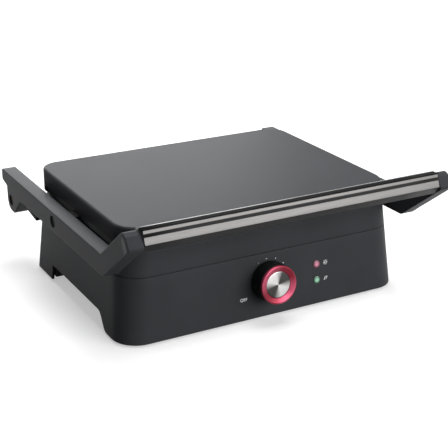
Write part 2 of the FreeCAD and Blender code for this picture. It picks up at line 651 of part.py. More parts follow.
def lower_reflector():
    """A thin dish round the heater, against the plate's underside."""
    made = new_body("lower_reflector")
    low = "(plate_low - reflector_depth)"
    block(made, ("-reflector_half_width", "-reflector_half_depth", low),
          ("reflector_half_width", "reflector_half_depth", "plate_low"))
    block(made, ("-reflector_half_width + reflector_wall", "-reflector_half_depth + reflector_wall",
                 f"{low} + reflector_wall"),
          ("reflector_half_width - reflector_wall", "reflector_half_depth - reflector_wall",
           "plate_low + overrun"), cut=True)
    return made


def thermal_fuse():
    made = new_body("thermal_fuse")
    height = "plate_low - reflector_depth - fuse_radius"
    rod(made, ("fuse_x", "0", height), "across", "fuse_radius", "fuse_length")
    return made


# Grease path


def grease_chute():
    made = new_body("grease_chute")
    low = ("-drain_width / 2 - chute_wall", "pan_rear - drain_depth - chute_wall", "chute_low")
    high = ("drain_width / 2 + chute_wall", "pan_rear + chute_wall", "plate_low")
    block(made, low, high)
    block(made, (f"{low[0]} + chute_wall", f"{low[1]} + chute_wall", "chute_low - overrun"),
          (f"{high[0]} - chute_wall", f"{high[1]} - chute_wall", "plate_low + overrun"), cut=True)
    return made


def drip_tray():
    made = new_body("drip_tray")
    panel = rear_wall("tray_top")
    block(made, ("-tray_half_width", "tray_front", "tray_floor"), ("tray_half_width", panel, "tray_top"))
    block(made, ("-tray_half_width + tray_wall", "tray_front + tray_wall", "tray_floor + tray_wall"),
          ("tray_half_width - tray_wall", f"{panel} - tray_panel", "tray_top + overrun"), cut=True)
    block(made, ("-tray_lip_half_width", f"{panel} - tray_panel", "tray_top - 2 * tray_lip_thick"),
          ("tray_lip_half_width", f"{panel} + tray_lip", "tray_top - tray_lip_thick"))
    return made


# Thermostat, knob and lamps, each square to the front wall


def thermostat():
    made = on_front_wall(new_body("thermostat"))
    back = "(-shell_wall - part_gap)"
    block(made, ("-thermostat_width / 2", "-thermostat_tall / 2", f"{back} - thermostat_deep"),
          ("thermostat_width / 2", "thermostat_tall / 2", back))
    rod(made, ("0", "0", f"{back} - overrun"), "up", "bush_radius", f"bush_stand + overrun - {back}")
    rod(made, ("0", "0", "-shaft_tail - overrun"), "up", "shaft_radius + shaft_gap",
        "shaft_tail + bush_stand + 2 * overrun", cut=True)
    return made


def thermostat_nut():
    made = on_front_wall(new_body("thermostat_nut"))
    nut = made.newObject("PartDesign::AdditivePrism", "Hexagon")
    attach(nut, made, "XY_Plane")
    nut.Polygon = 6
    bind(nut, {"Circumradius": "nut_radius", "Height": "nut_thick"})
    rod(made, ("0", "0", "-overrun"), "up", "bush_radius", "nut_thick + 2 * overrun", cut=True)
    return made


def thermostat_shaft():
    made = on_front_wall(new_body("thermostat_shaft"))
    rod(made, ("0", "0", "-shaft_tail"), "up", "shaft_radius", "shaft_tail + knob_gap + shaft_grip")
    return made


def knob_body():
    made = on_front_wall(new_body("knob_body"))
    rod(made, ("0", "0", "knob_gap"), "up", "knob_radius", "knob_length")
    rod(made, ("0", "0", "knob_gap - overrun"), "up", "knob_radius - knob_skirt",
        "knob_hollow + overrun", cut=True)
    rod(made, ("0", "0", "knob_gap - overrun"), "up", "shaft_radius", "shaft_grip + overrun", cut=True)
    return made


def knob_ring():
    made = on_front_wall(new_body("knob_ring"))
    low = "knob_gap + knob_length"
    rod(made, ("0", "0", low), "up", "knob_radius - ring_edge", "ring_thick")
    rod(made, ("0", "0", f"{low} - overrun"), "up", "ring_inner", "ring_thick + 2 * overrun", cut=True)
    front = size("knob_gap") + size("knob_length") + size("ring_thick")
    round_edges(made, "ring_round", lambda edge: abs(edge.CenterOfMass.z - front) < size("ring_round")
                and isinstance(edge.Curve, Part.Circle))
    return made


def knob_cap():
    made = on_front_wall(new_body("knob_cap"))
    rod(made, ("0", "0", "knob_gap + knob_length"), "up", "ring_inner", "cap_thick")
    front = size("knob_gap") + size("knob_length") + size("cap_thick")
    round_edges(made, "cap_round", lambda edge: abs(edge.CenterOfMass.z - front) < size("cap_round")
                and isinstance(edge.Curve, Part.Circle))
    return made


def lamp_lens(label, along):
    made = on_front_wall(new_body(label), "lamp_x", along)
    rod(made, ("0", "0", "-lens_tail"), "up", "lens_radius", "lens_tail + lens_stand")
    round_edges(made, "lens_round", lambda edge: abs(edge.CenterOfMass.z - size("lens_stand"))
                < size("lens_round") and isinstance(edge.Curve, Part.Circle))
    return made


def neon_lamps():
    lamps = []
    for along in ("lamp_high", "-lamp_low"):
        lamp = on_front_wall(new_body("neon_lamp"), "lamp_x", along)
        rod(lamp, ("0", "0", "-lens_tail - neon_length"), "up", "neon_radius", "neon_length")
        lamps.append(lamp)
    return group("neon_lamps", lamps)


def lamp_board():
    """A small board on two posts behind the front wall."""
    made = on_front_wall(new_body("lamp_board"), "lamp_x")
    top = "(-lens_tail - neon_length)"
    block(made, ("-board_half_width", "-lamp_low - board_over", f"{top} - board_thick"),
          ("board_half_width", "lamp_high + board_over", top))
    for spot in ("post_inset - board_half_width", "board_half_width - post_inset"):
        rod(made, (spot, "(lamp_high - lamp_low) / 2", f"{top} - board_thick / 2"), "up", "post_radius",
            f"board_thick / 2 - {top} - shell_wall")
    return made


# Mains parts


def cord_gland():
    """A flanged bush in the rear wall, with its bore free."""
    made = new_body("cord_gland")
    turn(made, "Placement", "rear_wall", rear_point("gland_x", "gland_height"))
    rod(made, ("0", "0", "0"), "up", "gland_flange", "gland_flange_thick")
    rod(made, ("0", "0", "-shell_wall - gland_tail"), "up", "gland_barrel",
        "shell_wall + gland_tail + gland_flange_thick")
    rod(made, ("0", "0", "-shell_wall - gland_tail - overrun"), "up", "gland_bore",
        "shell_wall + gland_tail + gland_flange_thick + 2 * overrun", cut=True)
    return made


def terminal_block():
    made = new_body("terminal_block")
    low = ("terminal_x - terminal_length / 2", "terminal_y - terminal_width / 2", "arch_top + cover_thick")
    block(made, low, ("terminal_x + terminal_length / 2", "terminal_y + terminal_width / 2",
                      "arch_top + cover_thick + terminal_tall"))
    for step in (-1, 0, 1):
        foot = (f"terminal_x + {step} * terminal_pitch", "terminal_y",
                "arch_top + cover_thick + terminal_tall - terminal_screw_deep")
        rod(made, foot, "up", "terminal_screw", "terminal_screw_deep + overrun", cut=True)
    return made


# Rear hinge


def bracket_screw_places():
    """X of the two screws of a bracket."""
    first = "bracket_inner - bracket_screw_inset"
    return (first, f"{first} - bracket_screw_pitch")


def hinge_bracket():
    """A flange on the rear wall and an ear that reaches back to the pivot."""
    made = new_body("right_hinge_bracket")
    outer = "(arm_inner - bracket_play)"
    flange = polygon(made, "YZ_Plane", "bracket_inner - bracket_flange", [
        (rear_wall("bracket_low"), "bracket_low"),
        (f"{rear_wall('bracket_low')} + bracket_thick", "bracket_low"),
        (f"{rear_wall('bracket_high')} + bracket_thick", "bracket_high"),
        (rear_wall("bracket_high"), "bracket_high")])
    pad(made, flange, "bracket_flange")
    ear_low = "(bracket_low + bracket_ear_up)"
    ear = polygon(made, "YZ_Plane", "bracket_inner", [
        (rear_wall(ear_low), ear_low), ("pivot_y", "pivot_height - bracket_boss"),
        ("pivot_y", "pivot_height + bracket_boss"),
        ("pivot_y - bracket_boss / 2", "pivot_height + bracket_boss"),
        (rear_wall("bracket_high"), "bracket_high")])
    pad(made, ear, f"{outer} - bracket_inner")
    rod(made, ("bracket_inner", "pivot_y", "pivot_height"), "across", "bracket_boss",
        f"{outer} - bracket_inner")
    rod(made, ("bracket_inner - overrun", "pivot_y", "pivot_height"), "across", "hinge_pin",
        f"{outer} - bracket_inner + 2 * overrun", cut=True)
    for place in bracket_screw_places():
        foot = (place, rear_wall("bracket_screw_height", "overrun"), "bracket_screw_height")
        rod(made, foot, "back", "screw_radius + screw_play", "bracket_screw_bite + overrun", cut=True)
    return made


def bracket_screws():
    """Screws from inside the rear wall into the brackets."""
    made = []
    seat = rear_wall("(bracket_screw_height + screw_head_radius)", "shell_wall")
    for side in ("", "-"):
        for place in bracket_screw_places():
            foot = (f"{side}({place})", f"{seat} - screw_head", "bracket_screw_height")
            length = f"{rear_wall('bracket_screw_height')} + bracket_screw_bite - ({seat})"
            made.append(screw("bracket_screw", foot, "back", length))
    return group("bracket_screws", made)


def hinge_pins():
    right = new_body("right_hinge_pin")
    rod(right, ("bracket_inner", "pivot_y", "pivot_height"), "across", "hinge_pin",
        "arm_outer - hinge_recess - bracket_inner")
    return group("hinge_pins", [right, mirrored("left_hinge_pin", right)])


def hinge_bushes():
    right = new_body("right_hinge_bush")
    rod(right, ("arm_inner", "pivot_y", "pivot_height"), "across", "hinge_bush", "arm_thick - hinge_recess")
    rod(right, ("arm_inner - overrun", "pivot_y", "pivot_height"), "across", "hinge_pin + pin_gap",
        "arm_thick + 2 * overrun", cut=True)
    return group("hinge_bushes", [right, mirrored("left_hinge_bush", right)])


# Arms and handle


def arm():
    """The right arm: a long bar with a rear lug and a front crank that ends in the handle's cap."""
    made = new_body("right_arm")
    outline = polygon(made, "YZ_Plane", "arm_inner", [
        ("-bend_top_y", "arm_top"), ("half_depth", "arm_top"), ("half_depth", "step_top"),
        ("pivot_y + lug_radius", "step_low"), ("pivot_y + lug_radius", "pivot_height"),
        ("pivot_y", "pivot_height - lug_radius"), ("lug_front", "pivot_height - lug_radius"),
        ("lug_front - lug_chamfer", "pivot_height - lug_radius + lug_rise"), ("lug_root", "arm_low"),
        ("-bend_low_y", "arm_low"), ("-crank_low_y", "crank_low"), ("-cap_low_y", "cap_low"),
        ("-cap_front_y", "cap_front"), ("-cap_top_y", "cap_top"), ("-cap_peak_y", "cap_peak")])
    pad(made, outline, "arm_thick")
    rod(made, ("arm_inner", "pivot_y", "pivot_height"), "across", "lug_radius", "arm_thick")
    round_edges(made, "arm_corner", at_corner([
        (size("half_depth"), size("arm_top")), (size("half_depth"), size("step_top")),
        (-size("cap_front_y"), size("cap_front")), (-size("cap_top_y"), size("cap_top"))]))
    round_edges(made, "bend_corner", at_corner([(-size("cap_peak_y"), size("cap_peak"))]))
    outer = size("arm_inner") + size("arm_thick")
    round_edges(made, "arm_edge", lambda edge: abs(edge.BoundBox.XMin - outer) < size("part_gap"))
    across = ("arm_low + channel_margin", "arm_top - channel_margin")
    block(made, ("arm_inner - overrun", "-channel_front", across[0]),
          ("arm_inner + arm_cover", "channel_rear", across[1]), cut=True)
    margin = "channel_margin"
    for ends in ((f"-channel_front + {margin}", "lid_pin_y - channel_bridge"),
                 ("lid_pin_y + channel_bridge", f"channel_rear - {margin}")):
        block(made, ("arm_inner", ends[0], across[0]),
              ("arm_inner + channel_depth", ends[1], across[1]), cut=True)
    pivot = ("arm_inner - overrun", "pivot_y", "pivot_height")
    lid_pin = ("lid_pin_y", "lid_pin_height")
    holes = [
        hole(pivot, "across", "hinge_bush", "arm_thick + 2 * overrun"),
        hole(("arm_inner - overrun", *lid_pin), "across", "lid_bush", "lid_bush_length + 2 * overrun"),
        hole(("arm_inner + lid_bush_length", *lid_pin), "across", "recess_radius", "arm_thick"),
        hole(("arm_inner - overrun", "-core_y", "core_height"), "across", "core_radius",
             "core_seat + overrun"),
    ]
    for place in arm_screw_places():
        foot = ("arm_inner", place, "lid_pin_height")
        holes.append(hole(foot, "across", "screw_radius + screw_play", "channel_depth"))
    return drilled("right_arm", made, holes)


def arm_screw_places():
    """Y of the screws that hold an arm's inner cover, on the solid bridge at each side of the pivot."""
    reach = "channel_bridge - arm_screw_inset"
    return (f"lid_pin_y - ({reach})", f"lid_pin_y + ({reach})")


def arm_cover():
    """The plate that closes the right arm's wire channel."""
    made = new_body("right_arm_cover")
    block(made, ("arm_inner", "-channel_front + cover_play", "arm_low + channel_margin + cover_play"),
          ("arm_inner + arm_cover", "channel_rear - cover_play", "arm_top - channel_margin - cover_play"))
    rod(made, ("arm_inner - overrun", "lid_pin_y", "lid_pin_height"), "across", "lid_bush",
        "arm_cover + 2 * overrun", cut=True)
    for place in arm_screw_places():
        rod(made, ("arm_inner - overrun", place, "lid_pin_height"), "across",
            "screw_head_radius + screw_play", "screw_head + overrun", cut=True)
        rod(made, ("arm_inner - overrun", place, "lid_pin_height"), "across", "screw_radius + screw_play",
            "arm_cover + 2 * overrun", cut=True)
    return made


def arm_screws():
    made = []
    for place in arm_screw_places():
        right = screw("arm_screw", ("arm_inner", place, "lid_pin_height"), "across",
                      "channel_depth - screw_head")
        made += [right, mirrored("left_arm_screw", right)]
    return group("arm_screws", made)


def handle_bar():
    made = new_body("handle_bar")
    profile = polygon(made, "YZ_Plane", "0", [
        ("-handle_back", "handle_top"), ("-handle_front_top", "handle_top"),
        ("-handle_front_low", "handle_face_low"), ("-handle_bevel_y", "handle_bevel"),
        ("-handle_back", "handle_back_low")])
    pad(made, profile, "2 * arm_inner", even=True)
    back, top = size("handle_back"), size("handle_top")
    round_edges(made, "handle_back_round", at_corner([(-back, top)]))
    round_edges(made, "handle_edge", at_corner([
        (-back, size("handle_back_low")), (-size("handle_bevel_y"), size("handle_bevel"))]))
    rod(made, ("-arm_inner - overrun", "-core_y", "core_height"), "across", "core_radius",
        "2 * arm_inner + 2 * overrun", cut=True)
    return made


def handle_core():
    """A steel tube through the bar into both arms."""
    made = new_body("handle_core")
    rod(made, ("-arm_inner - core_seat", "-core_y", "core_height"), "across", "core_radius",
        "2 * (arm_inner + core_seat)")
    rod(made, ("-arm_inner - core_seat - overrun", "-core_y", "core_height"), "across", "core_bore",
        "2 * (arm_inner + core_seat + overrun)", cut=True)
    return made


def handle_strip(label, height, drop):
    """A steel strip on the handle's leaning front face, a drop below the face's top edge."""
    made = doc.addObject("Part::Box", label)
    made.Label = label
    made.Placement = Placement(Vector(0, 0, 0), Rotation(Vector(1, 0, 0), 1))
    down = f"({drop} + {height})"
    bind(made, {
        "Length": "strip_length", "Width": "strip_thick", "Height": height,
        "Placement.Rotation.Angle": "-handle_lean", "Placement.Base.x": "-strip_length / 2",
        "Placement.Base.y": f"-handle_front_top - {down} * sin(handle_lean) - strip_thick * cos(handle_lean)",
        "Placement.Base.z": f"handle_top - {down} * cos(handle_lean) + strip_thick * sin(handle_lean)",
    })
    return made


# Lid


def lid_outline(owner, height, inset):
    """The lid's plan, moved in by an inset."""
    return rounded(owner, height, f"lid_width / 2 - ({inset})", f"lid_front - ({inset})",
                   f"lid_rear - ({inset})", f"lid_corner - ({inset})", f"lid_rear_corner - ({inset})")


def lid_boss_places():
    return [(f"{side}lid_boss_x", end) for side in ("", "-") for end in ("-lid_boss_front", "lid_boss_rear")]


def lid_cover():
    made = new_body("lid_cover")
    low = "(lid_rim_low + lid_rim)"
    pad(made, lid_outline(made, low, "0"), f"lid_top - {low}")
    round_edges(made, "lid_edge", lambda edge: abs(edge.BoundBox.ZMin - size("lid_top")) < size("part_gap"))
    pad(made, lid_outline(made, low, "lid_wall"), f"lid_top - {low} - lid_wall", cut=True)
    holes = []
    for across, along in lid_boss_places():
        foot = (across, along, f"{low} + lid_spigot")
        rod(made, foot, "up", "lid_boss_radius", f"lid_top - {low} - lid_spigot - lid_wall / 2")
        holes.append(hole(foot, "up", "screw_radius + screw_play", "screw_length"))
    return drilled("lid_cover", made, holes)


def lid_frame():
    """The lid's lower rim with the plate's seat, and an ear at each side for the pivot pin."""
    made = new_body("lid_frame")
    pad(made, lid_outline(made, "lid_rim_low", "0"), "lid_rim")
    pad(made, lid_outline(made, "lid_rim_low + lid_rim", "lid_wall + cover_play"), "lid_spigot")
    half = ("plate_width / 2 + part_gap", "plate_depth / 2 + part_gap")
    seat = rounded(made, "lid_rim_low - overrun", half[0], half[1], half[1], "plate_corner", "plate_corner")
    pad(made, seat, "flange_thick + overrun", cut=True)
    inner = [f"{side} - flange_reach" for side in half]
    corner = "plate_corner - flange_reach"
    opening = rounded(made, "lid_rim_low - overrun", inner[0], inner[1], inner[1], corner, corner)
    pad(made, opening, "lid_rim + lid_spigot + 2 * overrun", cut=True)
    ear_outer = "(ear_inner + ear_thick)"
    holes = []
    for side in ("", "-"):
        ends = ("ear_inner", ear_outer) if not side else (f"-{ear_outer}", "-ear_inner")
        block(made, (ends[0], "lid_pin_y - ear_half", "ear_low"),
              (ends[1], "lid_pin_y + ear_half", "lid_rim_low + lid_rim"))
        root = f"{side}(lid_width / 2 - ear_bridge)"
        web = (root, ends[1]) if not side else (ends[0], root)
        block(made, (web[0], "lid_pin_y - ear_half", "lid_rim_low + lid_rim - ear_bridge"),
              (web[1], "lid_pin_y + ear_half", "lid_rim_low + lid_rim"))
        holes.append(hole((f"{ends[0]} - overrun", "lid_pin_y", "lid_pin_height"), "across", "lid_pin",
                          "ear_thick + 2 * overrun"))
    for across, along in lid_boss_places():
        foot = (across, along, "lid_rim_low - overrun")
        holes.append(hole(foot, "up", "screw_radius + screw_play", "lid_rim + lid_spigot + 2 * overrun"))
        holes.append(hole(foot, "up", "screw_head_radius + screw_play", "screw_head + overrun"))
    return drilled("lid_frame", made, holes)


def lid_screws():
    length = "lid_rim + lid_spigot - screw_head + screw_length - overrun"
    return group("lid_screws", [screw("lid_screw", (across, along, "lid_rim_low"), "up", length)
                                for across, along in lid_boss_places()])


def lid_pivot_pins():
    right = new_body("right_lid_pin")
    rod(right, ("ear_inner", "lid_pin_y", "lid_pin_height"), "across", "lid_pin",
        "arm_inner + lid_bush_length + part_gap + lid_pin_head_thick - ear_inner")
    rod(right, ("arm_inner + lid_bush_length + part_gap", "lid_pin_y", "lid_pin_height"), "across",
        "lid_pin_head", "lid_pin_head_thick")
    return group("lid_pivot_pins", [right, mirrored("left_lid_pin", right)])


def lid_pivot_bushes():
    right = new_body("right_lid_bush")
    rod(right, ("arm_inner", "lid_pin_y", "lid_pin_height"), "across", "lid_bush", "lid_bush_length")
    rod(right, ("arm_inner - overrun", "lid_pin_y", "lid_pin_height"), "across", "lid_pin + pin_gap",
        "lid_bush_length + 2 * overrun", cut=True)
    return group("lid_pivot_bushes", [right, mirrored("left_lid_bush", right)])


def build():
    """Make every piece, and return the ones that have a file."""
    blank = plate_blank()
    bracket = hinge_bracket()
    right_arm = arm()
    right_cover = arm_cover()
    heater = lower_heater()
    reflector = lower_reflector()
    upper_drop = "strip_drop"
    lower_drop = "(strip_drop + strip_upper + strip_space)"
    return [
        base_housing(), base_frame(), front_guard(), bottom_cover(), rubber_feet(), base_screws(),
        lower_plate(blank), heater, reflector, thermal_fuse(), grease_chute(), drip_tray(),
        thermostat(), thermostat_nut(), thermostat_shaft(), knob_body(), knob_ring(), knob_cap(),
        lamp_lens("heating_lamp_lens", "lamp_high"), lamp_lens("ready_lamp_lens", "-lamp_low"),
        neon_lamps(), lamp_board(), cord_gland(), terminal_block(),
        bracket, mirrored("left_hinge_bracket", bracket), bracket_screws(), hinge_pins(), hinge_bushes(),
        right_arm, mirrored("left_arm", right_arm), right_cover, mirrored("left_arm_cover", right_cover),
        arm_screws(), handle_bar(), handle_core(),
        handle_strip("handle_strip_upper", "strip_upper", upper_drop),
        handle_strip("handle_strip_lower", "strip_lower", lower_drop),
        lid_cover(), lid_frame(), lid_screws(), lid_pivot_pins(), lid_pivot_bushes(),
        faced("upper_plate", blank), faced("upper_heater", heater), faced("upper_reflector", reflector),
    ]


pieces = build()
doc.recompute()
failed = [item.Label for item in doc.Objects if "Invalid" in item.State or "Error" in item.State]
if failed:
    raise SystemExit(f"failed: {failed}")
for piece in pieces:
    if piece.Shape.isNull() or not piece.Shape.isValid():
        raise SystemExit(f"bad shape: {piece.Label}")
os.makedirs("parts", exist_ok=True)
for piece in pieces:
    piece.Shape.exportStep(f"parts/{piece.Label}.step")
    print(piece.Label, len(piece.Shape.Solids), round(piece.Shape.Volume))
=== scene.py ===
import math
import bmesh
import bpy
import numpy as np
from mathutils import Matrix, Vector
from mathutils.geometry import delaunay_2d_cdt


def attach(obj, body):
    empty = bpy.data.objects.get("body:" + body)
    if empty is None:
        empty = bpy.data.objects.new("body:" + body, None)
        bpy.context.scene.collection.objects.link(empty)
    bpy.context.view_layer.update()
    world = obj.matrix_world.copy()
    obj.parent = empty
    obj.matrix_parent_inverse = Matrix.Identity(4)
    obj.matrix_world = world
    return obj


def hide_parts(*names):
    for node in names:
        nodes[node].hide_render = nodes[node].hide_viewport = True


# Contact grill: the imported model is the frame, and these pieces and finishes dress it.
# Sizes are in millimetres in the part's frame, and go into the meshes in metres.
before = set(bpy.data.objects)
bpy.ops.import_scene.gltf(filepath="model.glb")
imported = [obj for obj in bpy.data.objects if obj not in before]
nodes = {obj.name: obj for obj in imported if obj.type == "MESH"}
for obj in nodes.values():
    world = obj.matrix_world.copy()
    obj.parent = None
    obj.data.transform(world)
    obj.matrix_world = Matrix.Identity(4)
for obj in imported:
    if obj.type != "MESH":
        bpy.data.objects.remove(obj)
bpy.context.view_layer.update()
toMetres = 0.001
nearlyOne = 0.9999    # a share or a normal this long counts as whole


# meshes

def ringQuads(rings, count):
    # four corners of each cell between neighbouring rings of points, each ring closed on itself
    start = np.arange(rings - 1)[:, None] * count
    here = np.arange(count)[None, :]
    there = (here + 1) % count
    corners = [start + here, start + there, start + count + there, start + count + here]
    return np.stack(corners, -1).reshape(-1, 4)


def ringFace(ring, count):
    # one face over a whole ring
    return list(range(ring * count, (ring + 1) * count))


def turns(steps, start=0.0):
    # cosine and sine of even turns round a circle
    a = np.linspace(0, 2 * math.pi, steps, endpoint=False) + start
    return np.stack([np.cos(a), np.sin(a)], 1)


def atX(x, flat):
    # an outline of (y, z) set across the width
    return np.column_stack([np.full(len(flat), x), flat])


def atZ(flat, z):
    # points of an outline set at a height
    return np.column_stack([flat, np.full(len(flat), z)])


def joined(parts):
    # several (points, faces) put one after the other, with the faces' numbers moved on
    points, faces, first = [], [], 0
    for somePoints, someFaces in parts:
        points.append(somePoints)
        faces += [[int(i) + first for i in face] for face in someFaces]
        first += len(somePoints)
    return np.concatenate(points), faces


def addObject(name, data):
    # an object at the origin, in the scene
    made = bpy.data.objects.new(name, data)
    bpy.context.scene.collection.objects.link(made)
    return made


def shadeSmooth(mesh):
    # all faces of a mesh shaded smooth
    mesh.polygons.foreach_set("use_smooth", np.ones(len(mesh.polygons), bool))


def putPiece(name, points, faces, material, body, stands=(), slot=None, uv=None):
    # a smooth-shaded mesh at the origin that rides a body and stands for CAD nodes
    mesh = bpy.data.meshes.new(name)
    places = (np.asarray(points, float) * toMetres).tolist()
    mesh.from_pydata(places, [], [list(map(int, face)) for face in faces])
    shadeSmooth(mesh)
    if uv is not None:
        layer = mesh.uv_layers.new(name="finish")
        corner = np.zeros(len(mesh.loops), np.int32)
        mesh.loops.foreach_get("vertex_index", corner)
        layer.data.foreach_set("uv", np.asarray(uv, np.float32)[corner].ravel())
    mesh.update()
    mesh.materials.append(material)
    piece = addObject(name, mesh)
    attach(piece, body)
    if stands:
        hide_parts(*stands)


def mirrorX(points, faces):
    # the same surface on the other side, with its faces turned round to point outwards again
    return points * np.array([-1, 1, 1]), [list(face)[::-1] for face in faces]


def roundRect(halfWidth, front, rear, frontCorner, rearCorner, stations, cornerSteps=10):
    # a rectangle with round corners, counterclockwise from the front's left end: points, outward
    # normals, and the way each point drifts as the walls move out by one with the radii kept.
    # stations holds shares from -1 to 1 along the front, right, rear and left side's straight run
    def arc(x, y, radius, start):
        a = np.radians(np.linspace(start, start + 90, cornerSteps + 1)[1:-1])
        way = np.stack([np.cos(a), np.sin(a)], 1)
        return np.array([x, y]) + radius * way, way, np.repeat([np.sign([x, y])], len(a), 0)

    def run(start, end, way, shares):
        start, end = np.array(start, float), np.array(end, float)
        share = np.asarray(shares, float)[:, None]
        along = (end - start) / np.linalg.norm(end - start)
        atEnd = np.where(abs(share) > nearlyOne, np.sign(share), 0)
        ways = np.repeat([way], len(share), 0)
        return start + (share + 1) / 2 * (end - start), ways, ways + atEnd * along

    f, r, w = frontCorner, rearCorner, halfWidth
    parts = [run((f - w, -front), (w - f, -front), (0, -1), stations[0]),
             arc(w - f, f - front, f, -90),
             run((w, f - front), (w, rear - r), (1, 0), stations[1]),
             arc(w - r, rear - r, r, 0),
             run((w - r, rear), (r - w, rear), (0, 1), stations[2]),
             arc(r - w, rear - r, r, 90),
             run((-w, rear - r), (-w, f - front), (-1, 0), stations[3]),
             arc(f - w, f - front, f, 180)]
    return tuple(np.concatenate(found) for found in zip(*parts))


def quarter(radius, steps=5):
    # a quarter round as (inset, rise) pairs, from square in to flush with the wall
    a = np.linspace(0, math.pi / 2, steps + 1)
    return np.stack([radius * (1 - np.sin(a)), radius * (1 - np.cos(a))], 1)


def roundCorners(corners, radii, steps=6):
    # a closed outline with each corner replaced by an arc that touches both of its sides
    p, radii = np.asarray(corners, float), np.asarray(radii, float)
    before, after = np.roll(p, 1, 0) - p, np.roll(p, -1, 0) - p
    before /= np.linalg.norm(before, axis=1)[:, None]
    after /= np.linalg.norm(after, axis=1)[:, None]
    half = np.arccos(np.clip((before * after).sum(1), -1, 1)) / 2
    middle = before + after
    middle /= np.linalg.norm(middle, axis=1)[:, None]
    centre = p + middle * (radii / np.sin(half))[:, None]
    reach = (radii / np.tan(half))[:, None]
    first, last = p + before * reach - centre, p + after * reach - centre
    t = np.linspace(0, 1, steps + 1)[None, :, None]
    whole = (math.pi - 2 * half)[:, None, None]
    slide = np.sin((1 - t) * whole) * first[:, None] + np.sin(t * whole) * last[:, None]
    return (centre[:, None] + slide / np.sin(whole)).reshape(-1, 2)


def outlineNormals(outline):
    # outward normals of a counterclockwise outline, from the chord between a point's neighbours
    chord = np.roll(outline, -1, 0) - np.roll(outline, 1, 0)
    chord /= np.linalg.norm(chord, axis=1)[:, None]
    return np.stack([chord[:, 1], -chord[:, 0]], 1)


def lathe(profile, place, axis, steps=96):
    # (radius, height) pairs turned about an axis from a place, closed at the last pair;
    # also gives each point's place across the turn, in millimetres from the axis
    axis, across = Vector(axis).normalized(), Vector((1, 0, 0))
    flat = turns(steps)
    ring = flat @ np.array([across, axis.cross(across)])
    radius, height = np.asarray(profile, float).T[:, :, None, None]
    points = np.array(place) + radius * ring + height * np.array(axis)
    faces = ringQuads(len(profile), steps).tolist() + [ringFace(len(profile) - 1, steps)]
    return points.reshape(-1, 3), faces, (radius * flat).reshape(-1, 2)


def flatCap(outline, holes, steps, closeBy=1e-5):
    # triangles that fill an outline and leave round holes open; holes are (place, place, radius)
    rings = [outline] + [np.array([y, z]) + radius * turns(steps) for y, z, radius in holes]
    points, edges, first = np.concatenate(rings), [], 0
    for ring in rings:
        i = np.arange(len(ring))
        edges += (np.stack([i, (i + 1) % len(ring)], 1) + first).tolist()
        first += len(ring)
    found = delaunay_2d_cdt([Vector(p) for p in points.tolist()], edges, [], 1, closeBy)
    points = np.array([tuple(p) for p in found[0]])
    faces = np.array([list(f) for f in found[2]])
    middle = points[faces].mean(1)
    keep = np.ones(len(faces), bool)
    for y, z, radius in holes:
        keep &= np.hypot(middle[:, 0] - y, middle[:, 1] - z) > radius
    faces = faces[keep]
    (ax, ay), (bx, by), (cx, cy) = (points[faces[:, i]].T for i in range(3))
    turned = (bx - ax) * (cy - ay) - (by - ay) * (cx - ax) < 0
    faces[turned] = faces[turned][:, ::-1]
    return points, faces


print("helpers ready")


# materials

def newMaterial(name):
    # a material with nodes
    made = bpy.data.materials.new(name)
    made.use_nodes = True
    return made


def shaderOf(made):
    # the shader that a new material comes with
    return made.node_tree.nodes["Principled BSDF"]


def addNode(made, kind, **values):
    # a node with values set on its sockets, or on the node where it has no such socket
    node = made.node_tree.nodes.new(kind)
    for key, value in values.items():
        if key in node.inputs:
            node.inputs[key].default_value = value
        else:
            setattr(node, key, value)
    return node


def link(made, source, socket):
    # one node's output joined to another's input
    made.node_tree.links.new(source, socket)


def noise(made, scale, detail, stretch=(1, 1, 1)):
    # a noise from 0 to 1 on Object coordinates, stretched per axis
    place = addNode(made, "ShaderNodeTexCoord")
    mapping = addNode(made, "ShaderNodeMapping", Scale=stretch)
    found = addNode(made, "ShaderNodeTexNoise", Scale=scale, Detail=detail)
    link(made, place.outputs["Object"], mapping.inputs["Vector"])
    link(made, mapping.outputs["Vector"], found.inputs["Vector"])
    return found.outputs["Fac"]


def ramp(made, source, low, high, span=(0.35, 0.65)):
    # a source from 0 to 1 turned into a colour between low and high
    node = addNode(made, "ShaderNodeValToRGB")
    for stop, place, colour in zip(node.color_ramp.elements, span, (low, high)):
        stop.position, stop.color = place, (*colour, 1)
    link(made, source, node.inputs["Fac"])
    return node.outputs["Color"]


def spread(made, source, low, high, span=(0, 1)):
    # a source moved from its span to the range low to high, and held inside it
    ends = {"From Min": span[0], "From Max": span[1], "To Min": low, "To Max": high}
    node = addNode(made, "ShaderNodeMapRange", **ends)
    link(made, source, node.inputs["Value"])
    return node.outputs["Result"]


def maths(made, operation, first, second):
    # one sum; a number is set on the socket and a node's output is linked to it
    node = addNode(made, "ShaderNodeMath", operation=operation)
    for socket, value in zip(node.inputs, (first, second)):
        if isinstance(value, (int, float)):
            socket.default_value = value
        else:
            link(made, value, socket)
    return node.outputs["Value"]


def dress(made, colour, rough, **values):
    # a shader's colour and roughness from nodes, and its other values set on their sockets
    sockets = shaderOf(made).inputs
    link(made, colour, sockets["Base Color"])
    link(made, rough, sockets["Roughness"])
    for key, value in values.items():
        sockets[key].default_value = value


def bumped(made, source, strength, distance):
    # a fine relief on the shader, with its depth in metres
    node = addNode(made, "ShaderNodeBump", Strength=strength, Distance=distance)
    link(made, source, node.inputs["Height"])
    link(made, node.outputs["Normal"], shaderOf(made).inputs["Normal"])


def acrossTurn(made):
    # a turned piece's own place across its turn, in millimetres from the axis, and its radius
    uv = addNode(made, "ShaderNodeUVMap", uv_map="finish").outputs["UV"]
    length = addNode(made, "ShaderNodeVectorMath", operation="LENGTH")
    link(made, uv, length.inputs[0])
    return uv, length.outputs["Value"]


plastic = {"broad": (16, 2), "swing": 0.06, "grainDetail": 3, "grainDeep": 0.0003}


